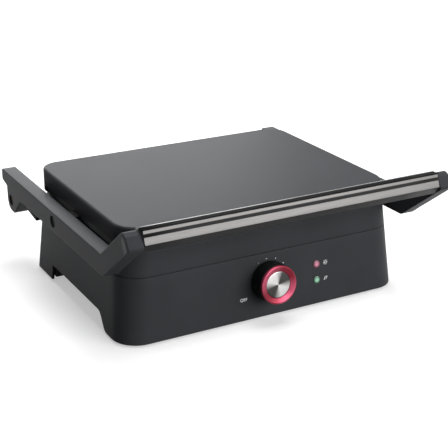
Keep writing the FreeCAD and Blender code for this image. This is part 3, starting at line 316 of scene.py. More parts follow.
def mouldedPlastic(name, tone, rough, grain=2600, bump=0.06, specular=0.5):
    # spark-eroded plastic: a fine grain, and a broad faint change of colour and gloss
    made = newMaterial(name)
    broad = noise(made, *plastic["broad"])
    low, high = (np.array(tone) * (1 + way * plastic["swing"]) for way in (-1, 1))
    dress(made, ramp(made, broad, low, high), spread(made, broad, *rough),
          **{"Specular IOR Level": specular})
    bumped(made, noise(made, grain, plastic["grainDetail"]), bump, plastic["grainDeep"])
    return made


worked = {"detail": 4, "darker": 0.86, "lighter": 1.1, "bump": 0.08, "deep": 0.0002}


def metal(name, tone, rough, scale, stretch=(1, 1, 1), anisotropic=0.0):
    # drawn, rolled or turned metal: a noise stretched along the way it was worked
    made = newMaterial(name)
    lines = noise(made, scale, worked["detail"], stretch)
    low, high = np.array(tone) * worked["darker"], np.minimum(np.array(tone) * worked["lighter"], 1)
    dress(made, ramp(made, lines, low, high), spread(made, lines, *rough), Metallic=1.0,
          Anisotropic=anisotropic)
    bumped(made, lines, worked["bump"], worked["deep"])
    return made


coat = {"specks": (1500, 1), "dark": (0.022, 0.022, 0.024), "pale": (0.11, 0.11, 0.115),
        "speckSpan": (0.62, 0.72), "peel": (420, 2), "rough": (0.3, 0.46), "specular": 0.6,
        "bump": 0.12, "deep": 0.0004}


def plateCoat(name):
    # non-stick coating on cast aluminium: dark, with pale specks and an orange-peel skin
    made = newMaterial(name)
    specks, peel = noise(made, *coat["specks"]), noise(made, *coat["peel"])
    dress(made, ramp(made, specks, coat["dark"], coat["pale"], coat["speckSpan"]),
          spread(made, peel, *coat["rough"]), **{"Specular IOR Level": coat["specular"]})
    bumped(made, peel, coat["bump"], coat["deep"])
    return made


lensLook = {"reach": 4.2, "toneSpan": (0.45, 0.66), "cloud": (500, 2), "rough": (0.12, 0.22),
            "glowSpan": (0.4, 0.85), "rimGlow": 0.02, "glow": 0.14, "coat": 0.4}


def lampLens(name, middle, rim, glow):
    # a coloured lens over a small lamp: pale in the middle with the lamp's glow painted into its
    # colour, deep at the rim, glowing weakly
    made, look = newMaterial(name), lensLook
    share = maths(made, "DIVIDE", acrossTurn(made)[1], look["reach"])
    dress(made, ramp(made, share, middle, rim, look["toneSpan"]),
          spread(made, noise(made, *look["cloud"]), *look["rough"]),
          **{"Emission Strength": look["glow"], "Coat Weight": look["coat"]})
    shining = ramp(made, share, glow, np.array(glow) * look["rimGlow"], look["glowSpan"])
    link(made, shining, shaderOf(made).inputs["Emission Color"])
    return made


spun = {"ringDetail": 5, "highlightShare": 0.85, "ringShare": 0.2, "span": (0.25, 0.8),
        "bump": 0.05, "deep": 0.0001, "axisGap": 0.01}


def highlightFans(made, angle):
    # a painted highlight in two opposite fans of a turned face: the squared cosine of the turn from
    # an angle
    uv, radius = acrossTurn(made)
    split = addNode(made, "ShaderNodeSeparateXYZ")
    link(made, uv, split.inputs["Vector"])
    along = maths(made, "MULTIPLY", split.outputs["X"], math.cos(angle))
    aside = maths(made, "MULTIPLY", split.outputs["Y"], math.sin(angle))
    reach = maths(made, "ADD", radius, spun["axisGap"])
    share = maths(made, "DIVIDE", maths(made, "ADD", along, aside), reach)
    return maths(made, "MULTIPLY", share, share), radius


def turnedFaceWithPaintedHighlight(name, low, high, angle, rough=(0.24, 0.34), scale=9.0, metallic=1.0):
    # metal turned on a lathe: fine rings by radius under a painted highlight in two opposite fans,
    # painted darker between them
    made = newMaterial(name)
    highlight, radius = highlightFans(made, math.radians(angle))
    rings = addNode(made, "ShaderNodeTexNoise", noise_dimensions="1D", Scale=scale,
                    Detail=spun["ringDetail"])
    link(made, radius, rings.inputs["W"])
    fine = rings.outputs["Fac"]
    highlightAndRings = maths(made, "ADD", maths(made, "MULTIPLY", highlight, spun["highlightShare"]),
                  maths(made, "MULTIPLY", fine, spun["ringShare"]))
    dress(made, ramp(made, highlightAndRings, low, high, spun["span"]), spread(made, fine, *rough),
          Metallic=metallic)
    bumped(made, fine, spun["bump"], spun["deep"])
    return made


bulb = {"cloud": (600, 2), "warm": (0.5, 0.3, 0.18), "clear": (0.8, 0.72, 0.62),
        "rough": (0.05, 0.12), "seeThrough": 0.5}


def neonGlass(name):
    # clear lamp glass with the orange electrodes showing through as a cloud
    made = newMaterial(name)
    cloud = noise(made, *bulb["cloud"])
    dress(made, ramp(made, cloud, bulb["warm"], bulb["clear"]), spread(made, cloud, *bulb["rough"]),
          **{"Transmission Weight": bulb["seeThrough"]})
    return made


anthracite = mouldedPlastic("anthracitePlastic", (0.04, 0.0415, 0.0455), (0.38, 0.46),
                            specular=0.03)
black = mouldedPlastic("blackPlastic", (0.0105, 0.0105, 0.0108), (0.5, 0.6), specular=0.1)
knobBlack = mouldedPlastic("knobBlack", (0.0035, 0.004, 0.0038), (0.42, 0.52), specular=0.06)
pale = mouldedPlastic("palePlastic", (0.52, 0.48, 0.4), (0.45, 0.55))
boardGreen = mouldedPlastic("boardGreen", (0.05, 0.16, 0.07), (0.35, 0.45))
rubber = mouldedPlastic("footRubber", (0.014, 0.014, 0.014), (0.7, 0.85), 1500, 0.12, 0.2)
blackSteel = mouldedPlastic("blackSteel", (0.004, 0.004, 0.0042), (0.45, 0.6), 1400, 0.1, 0.05)
printWhite = mouldedPlastic("printWhite", (0.82, 0.825, 0.83), (0.5, 0.6), specular=0.2)
coating = plateCoat("plateCoating")
stripSteel = metal("stripSteel", (0.094, 0.091, 0.089), (0.32, 0.44), 2600, (0.02, 1, 1), 0.5)
zinc = metal("zincSteel", (0.27, 0.275, 0.285), (0.34, 0.48), 1200)
tubeSteel = metal("heaterTube", (0.26, 0.235, 0.21), (0.4, 0.6), 500)
rolled = metal("rolledAluminium", (0.72, 0.72, 0.73), (0.25, 0.4), 900, (0.05, 1, 1))
bronze = metal("sinteredBronze", (0.2, 0.14, 0.075), (0.45, 0.6), 1500)
# the cap and the ring carry a painted highlight in two fans at these angles
capSteel = turnedFaceWithPaintedHighlight("capSteel", (0.045, 0.044, 0.042), (0.5, 0.495, 0.49), -50)
ringRed = turnedFaceWithPaintedHighlight("ringRed", (0.17, 0.003, 0.016), (0.4, 0.055, 0.105), -40,
                     rough=(0.3, 0.4), scale=3.0, metallic=0.6)
glass = neonGlass("neonGlass")
# the lenses' pale middle colours are the painted glow of the lamps behind them
redLens = lampLens("redLens", (0.5, 0.17, 0.26), (0.12, 0.003, 0.026), (0.75, 0.25, 0.38))
greenLens = lampLens("greenLens", (0.24, 0.5, 0.36), (0.006, 0.07, 0.028), (0.35, 0.75, 0.5))

finishOf = [
    (anthracite, ["base_housing", "base_frame", "front_guard", "right_arm", "left_arm",
                  "lid_cover"]),
    (black, ["bottom_cover", "handle_bar", "right_arm_cover", "left_arm_cover", "lid_frame",
             "drip_tray", "cord_gland"]),
    (knobBlack, ["knob_body"]), (ringRed, ["knob_ring"]), (capSteel, ["knob_cap"]),
    (coating, ["lower_plate", "upper_plate"]), (tubeSteel, ["lower_heater", "upper_heater"]),
    (rolled, ["lower_reflector", "upper_reflector", "grease_chute"]),
    (stripSteel, ["handle_strip_upper", "handle_strip_lower"]),
    (redLens, ["heating_lamp_lens"]), (greenLens, ["ready_lamp_lens"]), (glass, ["neon_lamps"]),
    (zinc, ["base_screws", "bracket_screws", "lid_screws", "arm_screws", "thermostat_nut",
            "thermostat_shaft", "handle_core", "thermal_fuse"]),
    (blackSteel, ["hinge_pins", "lid_pivot_pins", "right_hinge_bracket", "left_hinge_bracket"]),
    (bronze, ["hinge_bushes", "lid_pivot_bushes"]), (pale, ["thermostat", "terminal_block"]),
    (boardGreen, ["lamp_board"]), (rubber, ["rubber_feet"]),
]
for finish, names in finishOf:
    for name in names:
        nodes[name].data.materials.clear()
        nodes[name].data.materials.append(finish)
print("finishes on", len(nodes), "nodes")


# solids that show when the grill is open or seen from behind, with their sharp edges rolled over

rolledEdges = {"lower_plate": ("plateLower", "base", "coated_aluminium", 0.7),
               "upper_plate": ("plateUpper", "lid", "coated_aluminium", 0.7),
               "drip_tray": ("trayShell", "drip_tray", "black_plastic", 0.4),
               "right_hinge_bracket": ("bracketRight", "base", "black_steel", 0.4),
               "left_hinge_bracket": ("bracketLeft", "base", "black_steel", 0.4)}
rolling = {"sharp": math.radians(35), "flat": math.radians(0.5), "merge": 1e-6, "segments": 3}


def rolledCopy(node, name, body, width):
    # a merged copy of a solid, flat faces made whole, with a bevel on each sharp edge
    mesh = nodes[node].data.copy()
    mesh.name = name
    work = bmesh.new()
    work.from_mesh(mesh)
    bmesh.ops.remove_doubles(work, verts=work.verts, dist=rolling["merge"])
    bmesh.ops.dissolve_limit(work, angle_limit=rolling["flat"], verts=work.verts, edges=work.edges)
    work.to_mesh(mesh)
    work.free()
    shadeSmooth(mesh)
    piece = addObject(name, mesh)
    roll = piece.modifiers.new("roll", "BEVEL")
    roll.limit_method, roll.angle_limit = "ANGLE", rolling["sharp"]
    roll.width, roll.segments, roll.harden_normals = width * toMetres, rolling["segments"], True
    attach(piece, body)
    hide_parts(node)


for node, (name, body, slot, width) in rolledEdges.items():
    rolledCopy(node, name, body, width)
print("rolled edges on", len(rolledEdges), "solids")


# base: the lower shell, open inside

base = {"halfWidth": 166, "halfDepth": 121.5, "frontCorner": 28, "rearCorner": 8,
        "flare": 8, "height": 88, "lift": 2, "wall": 2.8, "edge": 0.8, "innerEdge": 0.5,
        "seam": 70, "seamEdge": 0.6, "inside": 6,    # wall drawn inside
        "archTop": 19, "archFrontLow": -75.5, "archFrontTop": -60.5, "archRear": 72.5,
        "archBend": 12, "archRearBend": 3, "footBend": 0.8, "endBend": 0.01,
        "bendSteps": 8, "archSteps": 10, "evenTop": 0.2,
        "trayHalf": 95.3, "trayLow": 6.0, "trayHigh": 19.1,
        "dial": 40.8, "lampX": 58.4, "lampHigh": 5.2, "lampLow": -12.3, "gland": (75, 42.0),
        "shaftHole": (4.6, 10), "lampHole": (4.3, 6), "glandHole": (6.6, 9),    # radius, patch
        "mouth": [(1.2, 0), (0.3, 0), (0.08, 0.08), (0, 0.3)], "holeSteps": 64,    # wider by, depth
        "frontX": [-90, -40, 30, 100], "rearX": [-120, -30, 0, 30, 120], "levels": [12, 61]}
leanAngle = math.atan2(base["flare"], base["height"])
leanCos, leanSin = math.cos(leanAngle), math.sin(leanAngle)

# round holes as (wall, x, z, radius, half of the square patch around it)
holesInWall = [("front", 0, base["dial"], *base["shaftHole"]),
               ("rear", *base["gland"], *base["glandHole"])]
holesInWall += [("front", base["lampX"], base["dial"] + base[along] * leanCos, *base["lampHole"])
                for along in ("lampHigh", "lampLow")]


def lean(z):
    # how far the flared wall has come in at a height
    return base["flare"] * (z - base["lift"]) / base["height"]


def frontWall(x, z, depth=0.0):
    # a place on the leaning front wall, or behind it along its normal
    y = lean(z) - base["halfDepth"] + depth * leanCos
    return np.stack(np.broadcast_arrays(x, y, z - depth * leanSin), -1)


def rearWall(x, z, depth=0.0):
    # a place on the leaning rear wall, or before it along its normal
    return frontWall(x, z, depth) * np.array([1, -1, 1])


def byDial(x, along, height=0.0):
    # a place on the front wall, across and up along it from the dial, raised by a height
    return frontWall(x, base["dial"] + along * leanCos, -height)


def sideFoot():
    # lower edge of a side wall as (y, z), front to back: front foot, arch with its bends, rear foot
    b = base
    start, end = b["frontCorner"] - b["halfDepth"], b["halfDepth"] - b["rearCorner"]
    line = [(start, b["lift"]), (b["archFrontLow"], b["lift"]), (b["archFrontTop"], b["archTop"]),
            (b["archRear"], b["archTop"]), (b["archRear"], b["lift"]), (end, b["lift"])]
    radii = [b["endBend"], b["archBend"], b["archBend"], b["archRearBend"], b["footBend"],
             b["endBend"]]
    bends = roundCorners(line, radii, b["bendSteps"]).reshape(len(line), -1, 2)
    run = np.linspace(bends[2, -1, 0], bends[3, 0, 0], b["archSteps"] + 2)[1:-1]
    return np.concatenate([[line[0]], bends[1], bends[2], atZ(run, b["archTop"]),
                           bends[3], bends[4], [line[-1]]])


def withHoles(plain, places):
    # chosen places, and the edges and middles of the patches around holes, in order
    patches = [place + way * half for place, half in places for way in (-1, 0, 1)]
    return np.unique(np.round(plain + patches, 6))


def holePatch(wall, x, z, radius, half):
    # a square of wall with a round hole, and the hole's own wall behind a softened mouth
    place = frontWall if wall == "front" else rearWall
    c, s = turns(base["holeSteps"], math.pi / 4).T
    square = half / np.maximum(abs(c), abs(s))
    rings = [place(x + square * c, z + square * s)]
    for wider, depth in base["mouth"] + [(0, base["wall"])]:
        r = radius + wider
        rings.append(place(x + r * c, z + r * s * leanCos, depth))
    quads = ringQuads(len(rings), len(c))
    return np.concatenate(rings), quads[:, ::-1 if wall == "rear" else 1]


def trayEdge():
    # the edge of the drip tray's opening, a wall's depth inwards
    x = np.array([-1, 1, 1, -1]) * base["trayHalf"]
    z = np.repeat([base["trayLow"], base["trayHigh"]], 2)
    rings = [rearWall(x, z), rearWall(x, z, base["wall"])]
    return np.concatenate(rings), ringQuads(2, len(x))[:, ::-1]


def baseShell():
    # rings of points: inside edge, lower edge round, up the leaning wall, seam edge round, inside;
    # the sides' points follow the foot's arch below and even out towards the seam
    b = base
    foot = sideFoot()
    step = np.gradient(foot, axis=0)
    step /= np.linalg.norm(step, axis=1)[:, None]
    intoWall = np.stack([-step[:, 1], step[:, 0]], 1)
    evenly = np.linspace(foot[0, 0], foot[-1, 0], len(foot))
    topY = (1 - b["evenTop"]) * foot[:, 0] + b["evenTop"] * evenly

    halfFront, halfRear = b["halfWidth"] - b["frontCorner"], b["halfWidth"] - b["rearCorner"]
    tray = [-b["trayHalf"], b["trayHalf"]]
    plainX = {"front": b["frontX"] + [-halfFront, halfFront],
              "rear": b["rearX"] + [-halfRear, halfRear] + tray}
    frontX, rearX = (withHoles(plain, [(hole[1], hole[4]) for hole in holesInWall
                                       if hole[0] == wall])
                     for wall, plain in plainX.items())
    sideShare = np.linspace(-1, 1, len(foot))
    p, n, drift = roundRect(b["halfWidth"], b["halfDepth"], b["halfDepth"], b["frontCorner"],
                            b["rearCorner"], [frontX / halfFront, sideShare,
                                              -rearX[::-1] / halfRear, sideShare])
    right, left = n[:, 0] > nearlyOne, n[:, 0] < -nearlyOne
    lowY, highY, intoY = np.zeros((3, len(p)))
    lowZ, intoZ = np.full(len(p), float(b["lift"])), np.ones(len(p))
    for side, order in ((right, slice(None)), (left, slice(None, None, -1))):
        lowY[side], lowZ[side] = foot[order].T
        intoY[side], intoZ[side] = intoWall[order].T
        highY[side] = topY[order]
    wallTop = b["seam"] - b["seamEdge"]

    def ring(inset, offset, share, z=None):
        # share 0 is the lower edge, moved into the wall by offset, and share 1 is below the seam
        y = (lowY + intoY * offset) * (1 - share) + highY * share
        height = (lowZ + intoZ * offset) * (1 - share) + wallTop * share
        if z is not None:
            height = np.full(len(p), float(z))
        place = p - drift * lean(height)[:, None] - n * inset
        place[:, 1] = np.where(right | left, y - drift[:, 1] * lean(height), place[:, 1])
        return np.column_stack([place, height])

    levels = withHoles(b["levels"] + [b["lift"] + b["edge"], b["trayLow"], b["trayHigh"], wallTop],
                       [(hole[2], hole[4]) for hole in holesInWall])
    shares = (levels - levels[0]) / (levels[-1] - levels[0])
    rings = [ring(b["wall"], b["inside"], 0), ring(b["wall"], b["innerEdge"], 0),
             ring(b["wall"] - b["innerEdge"], 0, 0)]
    rings += [ring(i, o, 0) for i, o in quarter(b["edge"])]
    firstWall = len(rings) - 1
    rings += [ring(0, b["edge"], share) for share in shares[1:]]
    lastWall = len(rings) - 1
    rings += [ring(i, 0, 1, b["seam"] - o) for i, o in quarter(b["seamEdge"])[::-1][1:]]
    rings += [ring(b["wall"], 0, 1, b["seam"]), ring(b["wall"], 0, 1, b["seam"] - b["inside"])]

    # leave out the wall where it has a hole, and at the drip tray
    faces = ringQuads(len(rings), len(p))
    level, column = np.divmod(np.arange(len(faces)), len(p))
    x = (p[column, 0] + p[(column + 1) % len(p), 0]) / 2
    z = np.interp(level - firstWall + 0.5, np.arange(len(levels)), levels)
    inWall = (level >= firstWall) & (level < lastWall)
    facing = n[column, 1]
    walls = {"front": inWall & (facing < -nearlyOne), "rear": inWall & (facing > nearlyOne)}
    out = walls["rear"] & (abs(x) < b["trayHalf"]) & (z > b["trayLow"]) & (z < b["trayHigh"])
    for wall, holeX, holeZ, radius, half in holesInWall:
        out |= walls[wall] & (abs(x - holeX) < half) & (abs(z - holeZ) < half)
    parts = [(np.concatenate(rings), faces[~out])]
    parts += [holePatch(*hole) for hole in holesInWall] + [trayEdge()]
    putPiece("baseShell", *joined(parts), anthracite, "base", ["base_housing"],
             "anthracite_plastic")


baseShell()
print("base shell")


# band above the seam, with the rim, its front guard and the deck around the plate

band = {"gap": 0.4, "inside": 8, "rim": 90, "rimEdge": 1.2, "guardTop": 96, "guardWall": 2.4,
        "guardEnd": -104, "guardEdge": 0.8, "guardFoot": (0.1, 0.08), "rowGap": 0.05,
        "opening": (146.9, 103.9, 12), "deckEdge": 0.9, "openingEdge": 0.5,
        "step": [(-2.5, 0), (-2.5, -5.9), (-5, -6)],    # below the rim, wider by
        "sideSteps": 14, "cornerSteps": 24, "wallSteps": 5}


def baseBand():
    # rings round the base above the seam, over the rim and its guard, in over the deck to the
    # opening and down to the step that holds the plate
    b, d = base, band
    stations = [np.linspace(-1, 1, d["sideSteps"])] * 4
    p, n, drift = roundRect(b["halfWidth"], b["halfDepth"], b["halfDepth"], b["frontCorner"],
                            b["rearCorner"], stations, d["cornerSteps"])
    wide, deep, corner = d["opening"]
    q, out = roundRect(wide, deep, deep, corner, corner, stations, d["cornerSteps"])[:2]
    low, rim, rise = b["seam"] + d["gap"], d["rim"], d["guardTop"] - d["rim"]
    rimY = (p - drift * lean(rim))[:, 1]
    guard = np.clip((d["guardEnd"] - rimY) / rise, 0, 1) * rise
    top = rim + guard

    def ring(z, inset):
        z, inset = np.broadcast_to(z, len(p)), np.broadcast_to(inset, len(p))
        return np.column_stack([p - drift * lean(z)[:, None] - n * inset[:, None], z])

    def opening(z, wider):
        return atZ(q + out * wider, z)

    wallLow, wallHigh = low + b["seamEdge"], top - d["rimEdge"]
    rings = [ring(low + d["inside"], b["wall"]), ring(low, b["wall"])]
    rings += [ring(low + o, i) for i, o in quarter(b["seamEdge"])]
    rings += [ring(wallLow + (wallHigh - wallLow) * share, 0)
              for share in np.linspace(0, 1, d["wallSteps"] + 1)[1:]]
    rings += [ring(top - o, i) for i, o in quarter(d["rimEdge"], steps=6)[::-1][1:]]
    # the guard's inner edge and root; beside the guard these rings lie flat on the rim
    stands = np.clip(guard / d["guardEdge"], 0, 1)
    rings += [ring(top - o * stands, d["guardWall"] - i)
              for i, o in quarter(d["guardEdge"], steps=4)]
    up, inwards = d["guardFoot"]
    rings += [ring(rim + guard * up, d["guardWall"] + d["rowGap"]),
              ring(rim, d["guardWall"] + 2 * d["rowGap"] + guard * inwards)]
    rings.append(opening(rim, d["deckEdge"]))
    rings += [opening(rim - o, d["openingEdge"] - i)
              for o, i in quarter(d["openingEdge"], steps=4)[::-1]]
    rings += [opening(rim + below, wider) for below, wider in d["step"]]
    putPiece("baseBand", np.concatenate(rings), ringQuads(len(rings), len(p)), anthracite, "base",
             ["base_frame", "front_guard"], "anthracite_plastic")


baseBand()
print("base band")


# lid

lid = {"halfWidth": 156, "front": 108.5, "rear": 126.5, "corner": 26, "rearCorner": 21,
       "low": 98, "top": 120, "edge": 2.6, "lowEdge": 0.5, "wall": 2.5, "inside": 3,
       "flat": (0.5, 20), "sideSteps": 14, "cornerSteps": 14, "wallSteps": 4}


def lidCover():
    # rings up the lid's side, round its edge and in over the flat top, closed by one face
    d = lid
    p, n = roundRect(d["halfWidth"], d["front"], d["rear"], d["corner"], d["rearCorner"],
                     [np.linspace(-1, 1, d["sideSteps"])] * 4, d["cornerSteps"])[:2]

    def ring(z, inset):
        return atZ(p - n * inset, z)

    low, top, edge = d["low"], d["top"], d["edge"]
    rings = [ring(low + d["inside"], d["wall"]), ring(low, d["wall"])]
    rings += [ring(low + o, i) for i, o in quarter(d["lowEdge"], steps=3)]
    heights = np.linspace(low + d["lowEdge"], top - edge, d["wallSteps"] + 1)[1:]
    rings += [ring(z, 0) for z in heights]
    rings += [ring(top - o, i) for i, o in quarter(edge, steps=9)[::-1][1:]]
    rings += [ring(top, edge + d["flat"][0]), ring(top, d["flat"][1])]
    faces = ringQuads(len(rings), len(p)).tolist() + [ringFace(len(rings) - 1, len(p))]
    putPiece("lidTop", np.concatenate(rings), faces, anthracite, "lid", ["lid_cover"],
             "anthracite_plastic")


lidCover()
print("lid")


# arms

arm = {"inner": 166, "thick": 16, "edge": 1.4, "innerEdge": 0.7, "flat": 0.4,
       "pivot": (151, 73.5), "lug": 13, "bush": 6, "lidPin": (14.5, 93.4), "recess": 6.5,
       "recessDeep": 4, "seat": 3.6, "bore": 5.2, "mouth": 0.5, "mouthTurn": 0.15,
       # side view as (y, z, rounding): crank and cap, bar, then the lug's top and the rear end
       "crank": [(-112, 104, 9), (-165.5, 144.5, 6), (-172.5, 141, 3), (-180.5, 130, 3),
                 (-170, 122, 1.2), (-131.5, 93, 14), (-117.5, 82, 9), (118.5, 82, 9),
                 (138.5, 63, 3), (143.5, 60.5, 3)],
       "lugTop": (87, 1.5), "rearEnd": [(179.5, 91, 2.4), (179.5, 104, 3)],
       "cornerSteps": 7, "holeSteps": 48}


def armOutline():
    # the arm's side view, counterclockwise as (y, z), with the lug's half round about its pivot
    (y, z), lug = arm["pivot"], arm["lug"]
    corners = arm["crank"] + [(y + lug, z - lug, lug), (y + lug, *arm["lugTop"])] + arm["rearEnd"]
    spots = np.array(corners)
    return roundCorners(spots[:, :2], spots[:, 2], arm["cornerSteps"])


def boreRings(y, z, rings):
    # rings of (x, radius) about an axis across the arm, joined one to the next
    flat = turns(arm["holeSteps"])
    points = [atX(x, np.array([y, z]) + radius * flat) for x, radius in rings]
    return np.concatenate(points), ringQuads(len(rings), len(flat))


def armPiece():
    # the outline carried across the arm's width and rounded over at both faces, with flat caps,
    # and the lid pin's recess and the hinge's bore in them
    a = arm
    outline = armOutline()
    normals = outlineNormals(outline)
    inner, outer, mouth, turn = a["inner"], a["inner"] + a["thick"], a["mouth"], a["mouthTurn"]
    innerInset, outerInset = a["innerEdge"] + a["flat"], a["edge"] + a["flat"]

    def ring(x, inset):
        return atX(x, outline - normals * inset)

    rings = [ring(inner, innerInset)]
    rings += [ring(inner + o, i) for i, o in quarter(a["innerEdge"], steps=4)]
    rings += [ring(outer - o, i) for i, o in quarter(a["edge"], steps=7)[::-1]]
    rings.append(ring(outer, outerInset))
    parts = [(np.concatenate(rings), ringQuads(len(rings), len(outline)))]
    holes = [(*a["lidPin"], a["recess"] + mouth), (*a["pivot"], a["bush"] + mouth)]
    for x, inset, way in ((outer, outerInset, 1), (inner, innerInset, -1)):
        flat, faces = flatCap(outline - normals * inset, holes, a["holeSteps"])
        parts.append((atX(x, flat), faces[:, ::way]))

    def softMouth(radius):
        return [(outer, radius + mouth), (outer - turn, radius + turn), (outer - mouth, radius)]

    seat, bore = outer - a["recessDeep"], a["bore"]
    recess = softMouth(a["recess"]) + [(seat, a["recess"]), (seat, a["seat"])]
    through = softMouth(a["bush"]) + [(inner + mouth, a["bush"]), (inner, a["bush"] + mouth)]
    behind = [(seat, bore), (inner + mouth, bore), (inner, a["recess"] + mouth)]
    parts += [boreRings(*a["lidPin"], recess), boreRings(*a["pivot"], through),
              boreRings(*a["lidPin"], behind)]
    return joined(parts)


armPoints, armFaces = armPiece()
putPiece("armRight", armPoints, armFaces, anthracite, "arm_frame", ["right_arm"],
         "anthracite_plastic")
putPiece("armLeft", *mirrorX(armPoints, armFaces), anthracite, "arm_frame", ["left_arm"],
         "anthracite_plastic")
print("arms")


# handle bar and its steel strips

handle = {"half": 166, "sections": 9, "cornerSteps": 16,
          # section as (y, z, rounding), with the front face between the second and third corner
          "corners": [(-157.5, 145.5, 9), (-173, 145.5, 0.9), (-178, 131.5, 0.9),
                      (-170.5, 122.5, 1.5), (-157.5, 128, 1.5)],
          "tone": (0.0115, 0.0115, 0.0117), "rough": (0.5, 0.6),
          # where the rear top edge begins to shine, and the glosses
          "polished": [("Y", -166.6, -165.8), ("Z", 143.0, 144.2)],
          "faceGloss": 0.14, "topGloss": 0.008, "edgeGloss": 0.9, "polish": (0.55, 0.22)}
strip = {"half": 165, "thick": 0.7, "edge": 0.3, "footEdge": 0.05, "endTurn": 0.1,
         "edgeSteps": 4, "places": [("upper", 1.0, 3.2), ("lower", 7.1, 7.4)]}    # drop, height


def gripFinish():
    # black, dull on the bar's top and polished where it turns over at its rear top edge
    made = mouldedPlastic("gripBlack", handle["tone"], handle["rough"])
    sockets = shaderOf(made).inputs
    place, split = addNode(made, "ShaderNodeTexCoord"), addNode(made, "ShaderNodeSeparateXYZ")
    link(made, place.outputs["Object"], split.inputs["Vector"])
    behind, above = (spread(made, split.outputs[axis], 0, 1, (low * toMetres, high * toMetres))
                     for axis, low, high in handle["polished"])
    both = maths(made, "MULTIPLY", behind, above)
    dull = spread(made, above, handle["faceGloss"], handle["topGloss"])
    shine = maths(made, "ADD", dull, spread(made, both, 0, handle["edgeGloss"]))
    link(made, shine, sockets["Specular IOR Level"])
    link(made, spread(made, both, *handle["polish"]), sockets["Roughness"])
    return made


def handleBar():
    # the bar's rounded section carried from arm to arm
    spots = np.array(handle["corners"])
    outline = roundCorners(spots[:, :2], spots[:, 2], handle["cornerSteps"])
    count, sections = len(outline), handle["sections"]
    xs = np.linspace(-handle["half"], handle["half"], sections)
    points = np.concatenate([atX(x, outline) for x in xs])
    faces = ringQuads(sections, count).tolist()
    faces += [ringFace(0, count)[::-1], ringFace(sections - 1, count)]
    putPiece("handleGrip", points, faces, gripFinish(), "arm_frame", ["handle_bar"],
             "black_plastic")


def handleStrip(label, drop, tall):
    # a flat strip with softened edges on the leaning front face, a drop below the face's top
    top, low = np.array(handle["corners"])[1:3, :2]
    down = (low - top) / np.linalg.norm(low - top)
    out = np.array([down[1], -down[0]])    # forwards, away from the face
    r, thick, foot, turn = strip["edge"], strip["thick"], strip["footEdge"], strip["endTurn"]
    corners = [(drop, 0), (drop + tall, 0), (drop + tall, thick), (drop, thick)]
    section = roundCorners(corners, [foot, foot, r, r], strip["edgeSteps"])
    spots = top + section[:, :1] * down + section[:, 1:] * out
    middle, count = spots.mean(0), len(spots)
    half = strip["half"]
    ends = [(-half, r), (-half + turn, turn), (-half + r, 0)]    # place across, inset
    ends += [(-x, inset) for x, inset in ends[::-1]]
    points = np.concatenate([atX(x, middle + (spots - middle) * (1 - 2 * inset / tall))
                             for x, inset in ends])
    faces = ringQuads(len(ends), count)[:, ::-1].tolist()
    faces += [ringFace(0, count), ringFace(len(ends) - 1, count)[::-1]]
    putPiece(f"handleStrip_{label}", points, faces, stripSteel, "arm_frame",
             [f"handle_strip_{label}"], "brushed_strip")


handleBar()
for label, drop, tall in strip["places"]:
    handleStrip(label, drop, tall)
print("handle")


# knob, ring and cap turned about the front wall's normal, as (radius, height) above the wall

knob = {"place": frontWall(0.0, base["dial"]), "axis": (0, -leanCos, leanSin),
        "body": [(18.1, 5.2), (18.1, 1.3), (18.3, 1.2), (20.4, 1.2), (20.75, 1.55), (20.6, 17.4),
                 (20.5, 17.8), (20.3, 18.1), (13.9, 18.2)],
        "ring": [(20.3, 18.2), (20.4, 18.5), (20.35, 20.7), (20.2, 21.2), (19.8, 21.5),
                 (19.2, 21.58), (18.5, 21.5), (17.9, 21.25), (14.6, 19.75), (14.15, 19.5),
                 (13.95, 19.2), (13.92, 18.4)],
        "cap": [(13.85, 18.3), (13.85, 18.95), (13.75, 19.15), (13.5, 19.25), (13.0, 19.3),
                (6.0, 19.2), (0.35, 19.15)]}
for name, part, node, finish, slot in (
        ("knobGrip", "body", "knob_body", knobBlack, "black_plastic"),
        ("knobRing", "ring", "knob_ring", ringRed, "red_ring"),
        ("knobCap", "cap", "knob_cap", capSteel, "spun_steel")):
    points, faces, uv = lathe(knob[part], knob["place"], knob["axis"])
    if part != "cap":
        faces = faces[:-1]    # open towards the piece that closes it
    putPiece(name, points, faces, finish, "knob", [node], slot, uv)
print("knob")


# signal lamps

lens = {"profile": [(4.2, -4), (4.2, 0.1), (4.1, 0.45), (3.8, 0.68), (3.1, 0.82), (1.8, 0.88),
                    (0.3, 0.9)], "steps": 48}
for name, node, along, finish, slot in (
        ("heatingLens", "heating_lamp_lens", "lampHigh", redLens, "red_lens"),
        ("readyLens", "ready_lamp_lens", "lampLow", greenLens, "green_lens")):
    place = byDial(base["lampX"], base[along])
    points, faces, uv = lathe(lens["profile"], place, knob["axis"], lens["steps"])
    putPiece(name, points, faces, finish, "base", [node], slot, uv)
print("lamps")


# printed marks on the front wall: thin pads, a little proud of it

marks = {"ink": 0.06, "barRound": 0.45, "barSteps": 4, "ringSteps": 32,
         "tickTurns": [-30, -5, 23, 51, 78, 106, 133], "tickRadius": 22.6,
         "tickLong": (0.8, 1.9), "tickWide": (0.5, 2.3),    # first tick, last tick
         "word": "OFF", "wordX": -30.2, "wordAlong": -15.9, "wordTall": 3.3,
         "capital": 0.69, "bolder": 0.025,    # a capital's share of the font's size, and its weight
         "signX": 69.6, "signRing": (0.95, 1.6), "rays": 8, "rayReach": (1.95, 2.8),
         "rayWide": 0.65, "strokeTurn": 25, "strokeWide": 0.8, "strokeReach": (-2.2, 2.2),
         "strokesAt": (-1.1, 1.1)}


def inkPad(outline, hole=None):
    # an outline on the wall as (across, up) made a thin pad: a skirt up from the wall and a top,
    # which is closed, or open round a hole with its own skirt back down
    count, ink = len(outline), marks["ink"]
    rings = [byDial(*outline.T), byDial(*outline.T, ink)]
    if hole is None:
        faces = ringQuads(2, count).tolist() + [ringFace(1, count)]
    else:
        rings += [byDial(*hole.T, ink), byDial(*hole.T)]
        faces = ringQuads(4, count)
    return np.concatenate(rings), faces


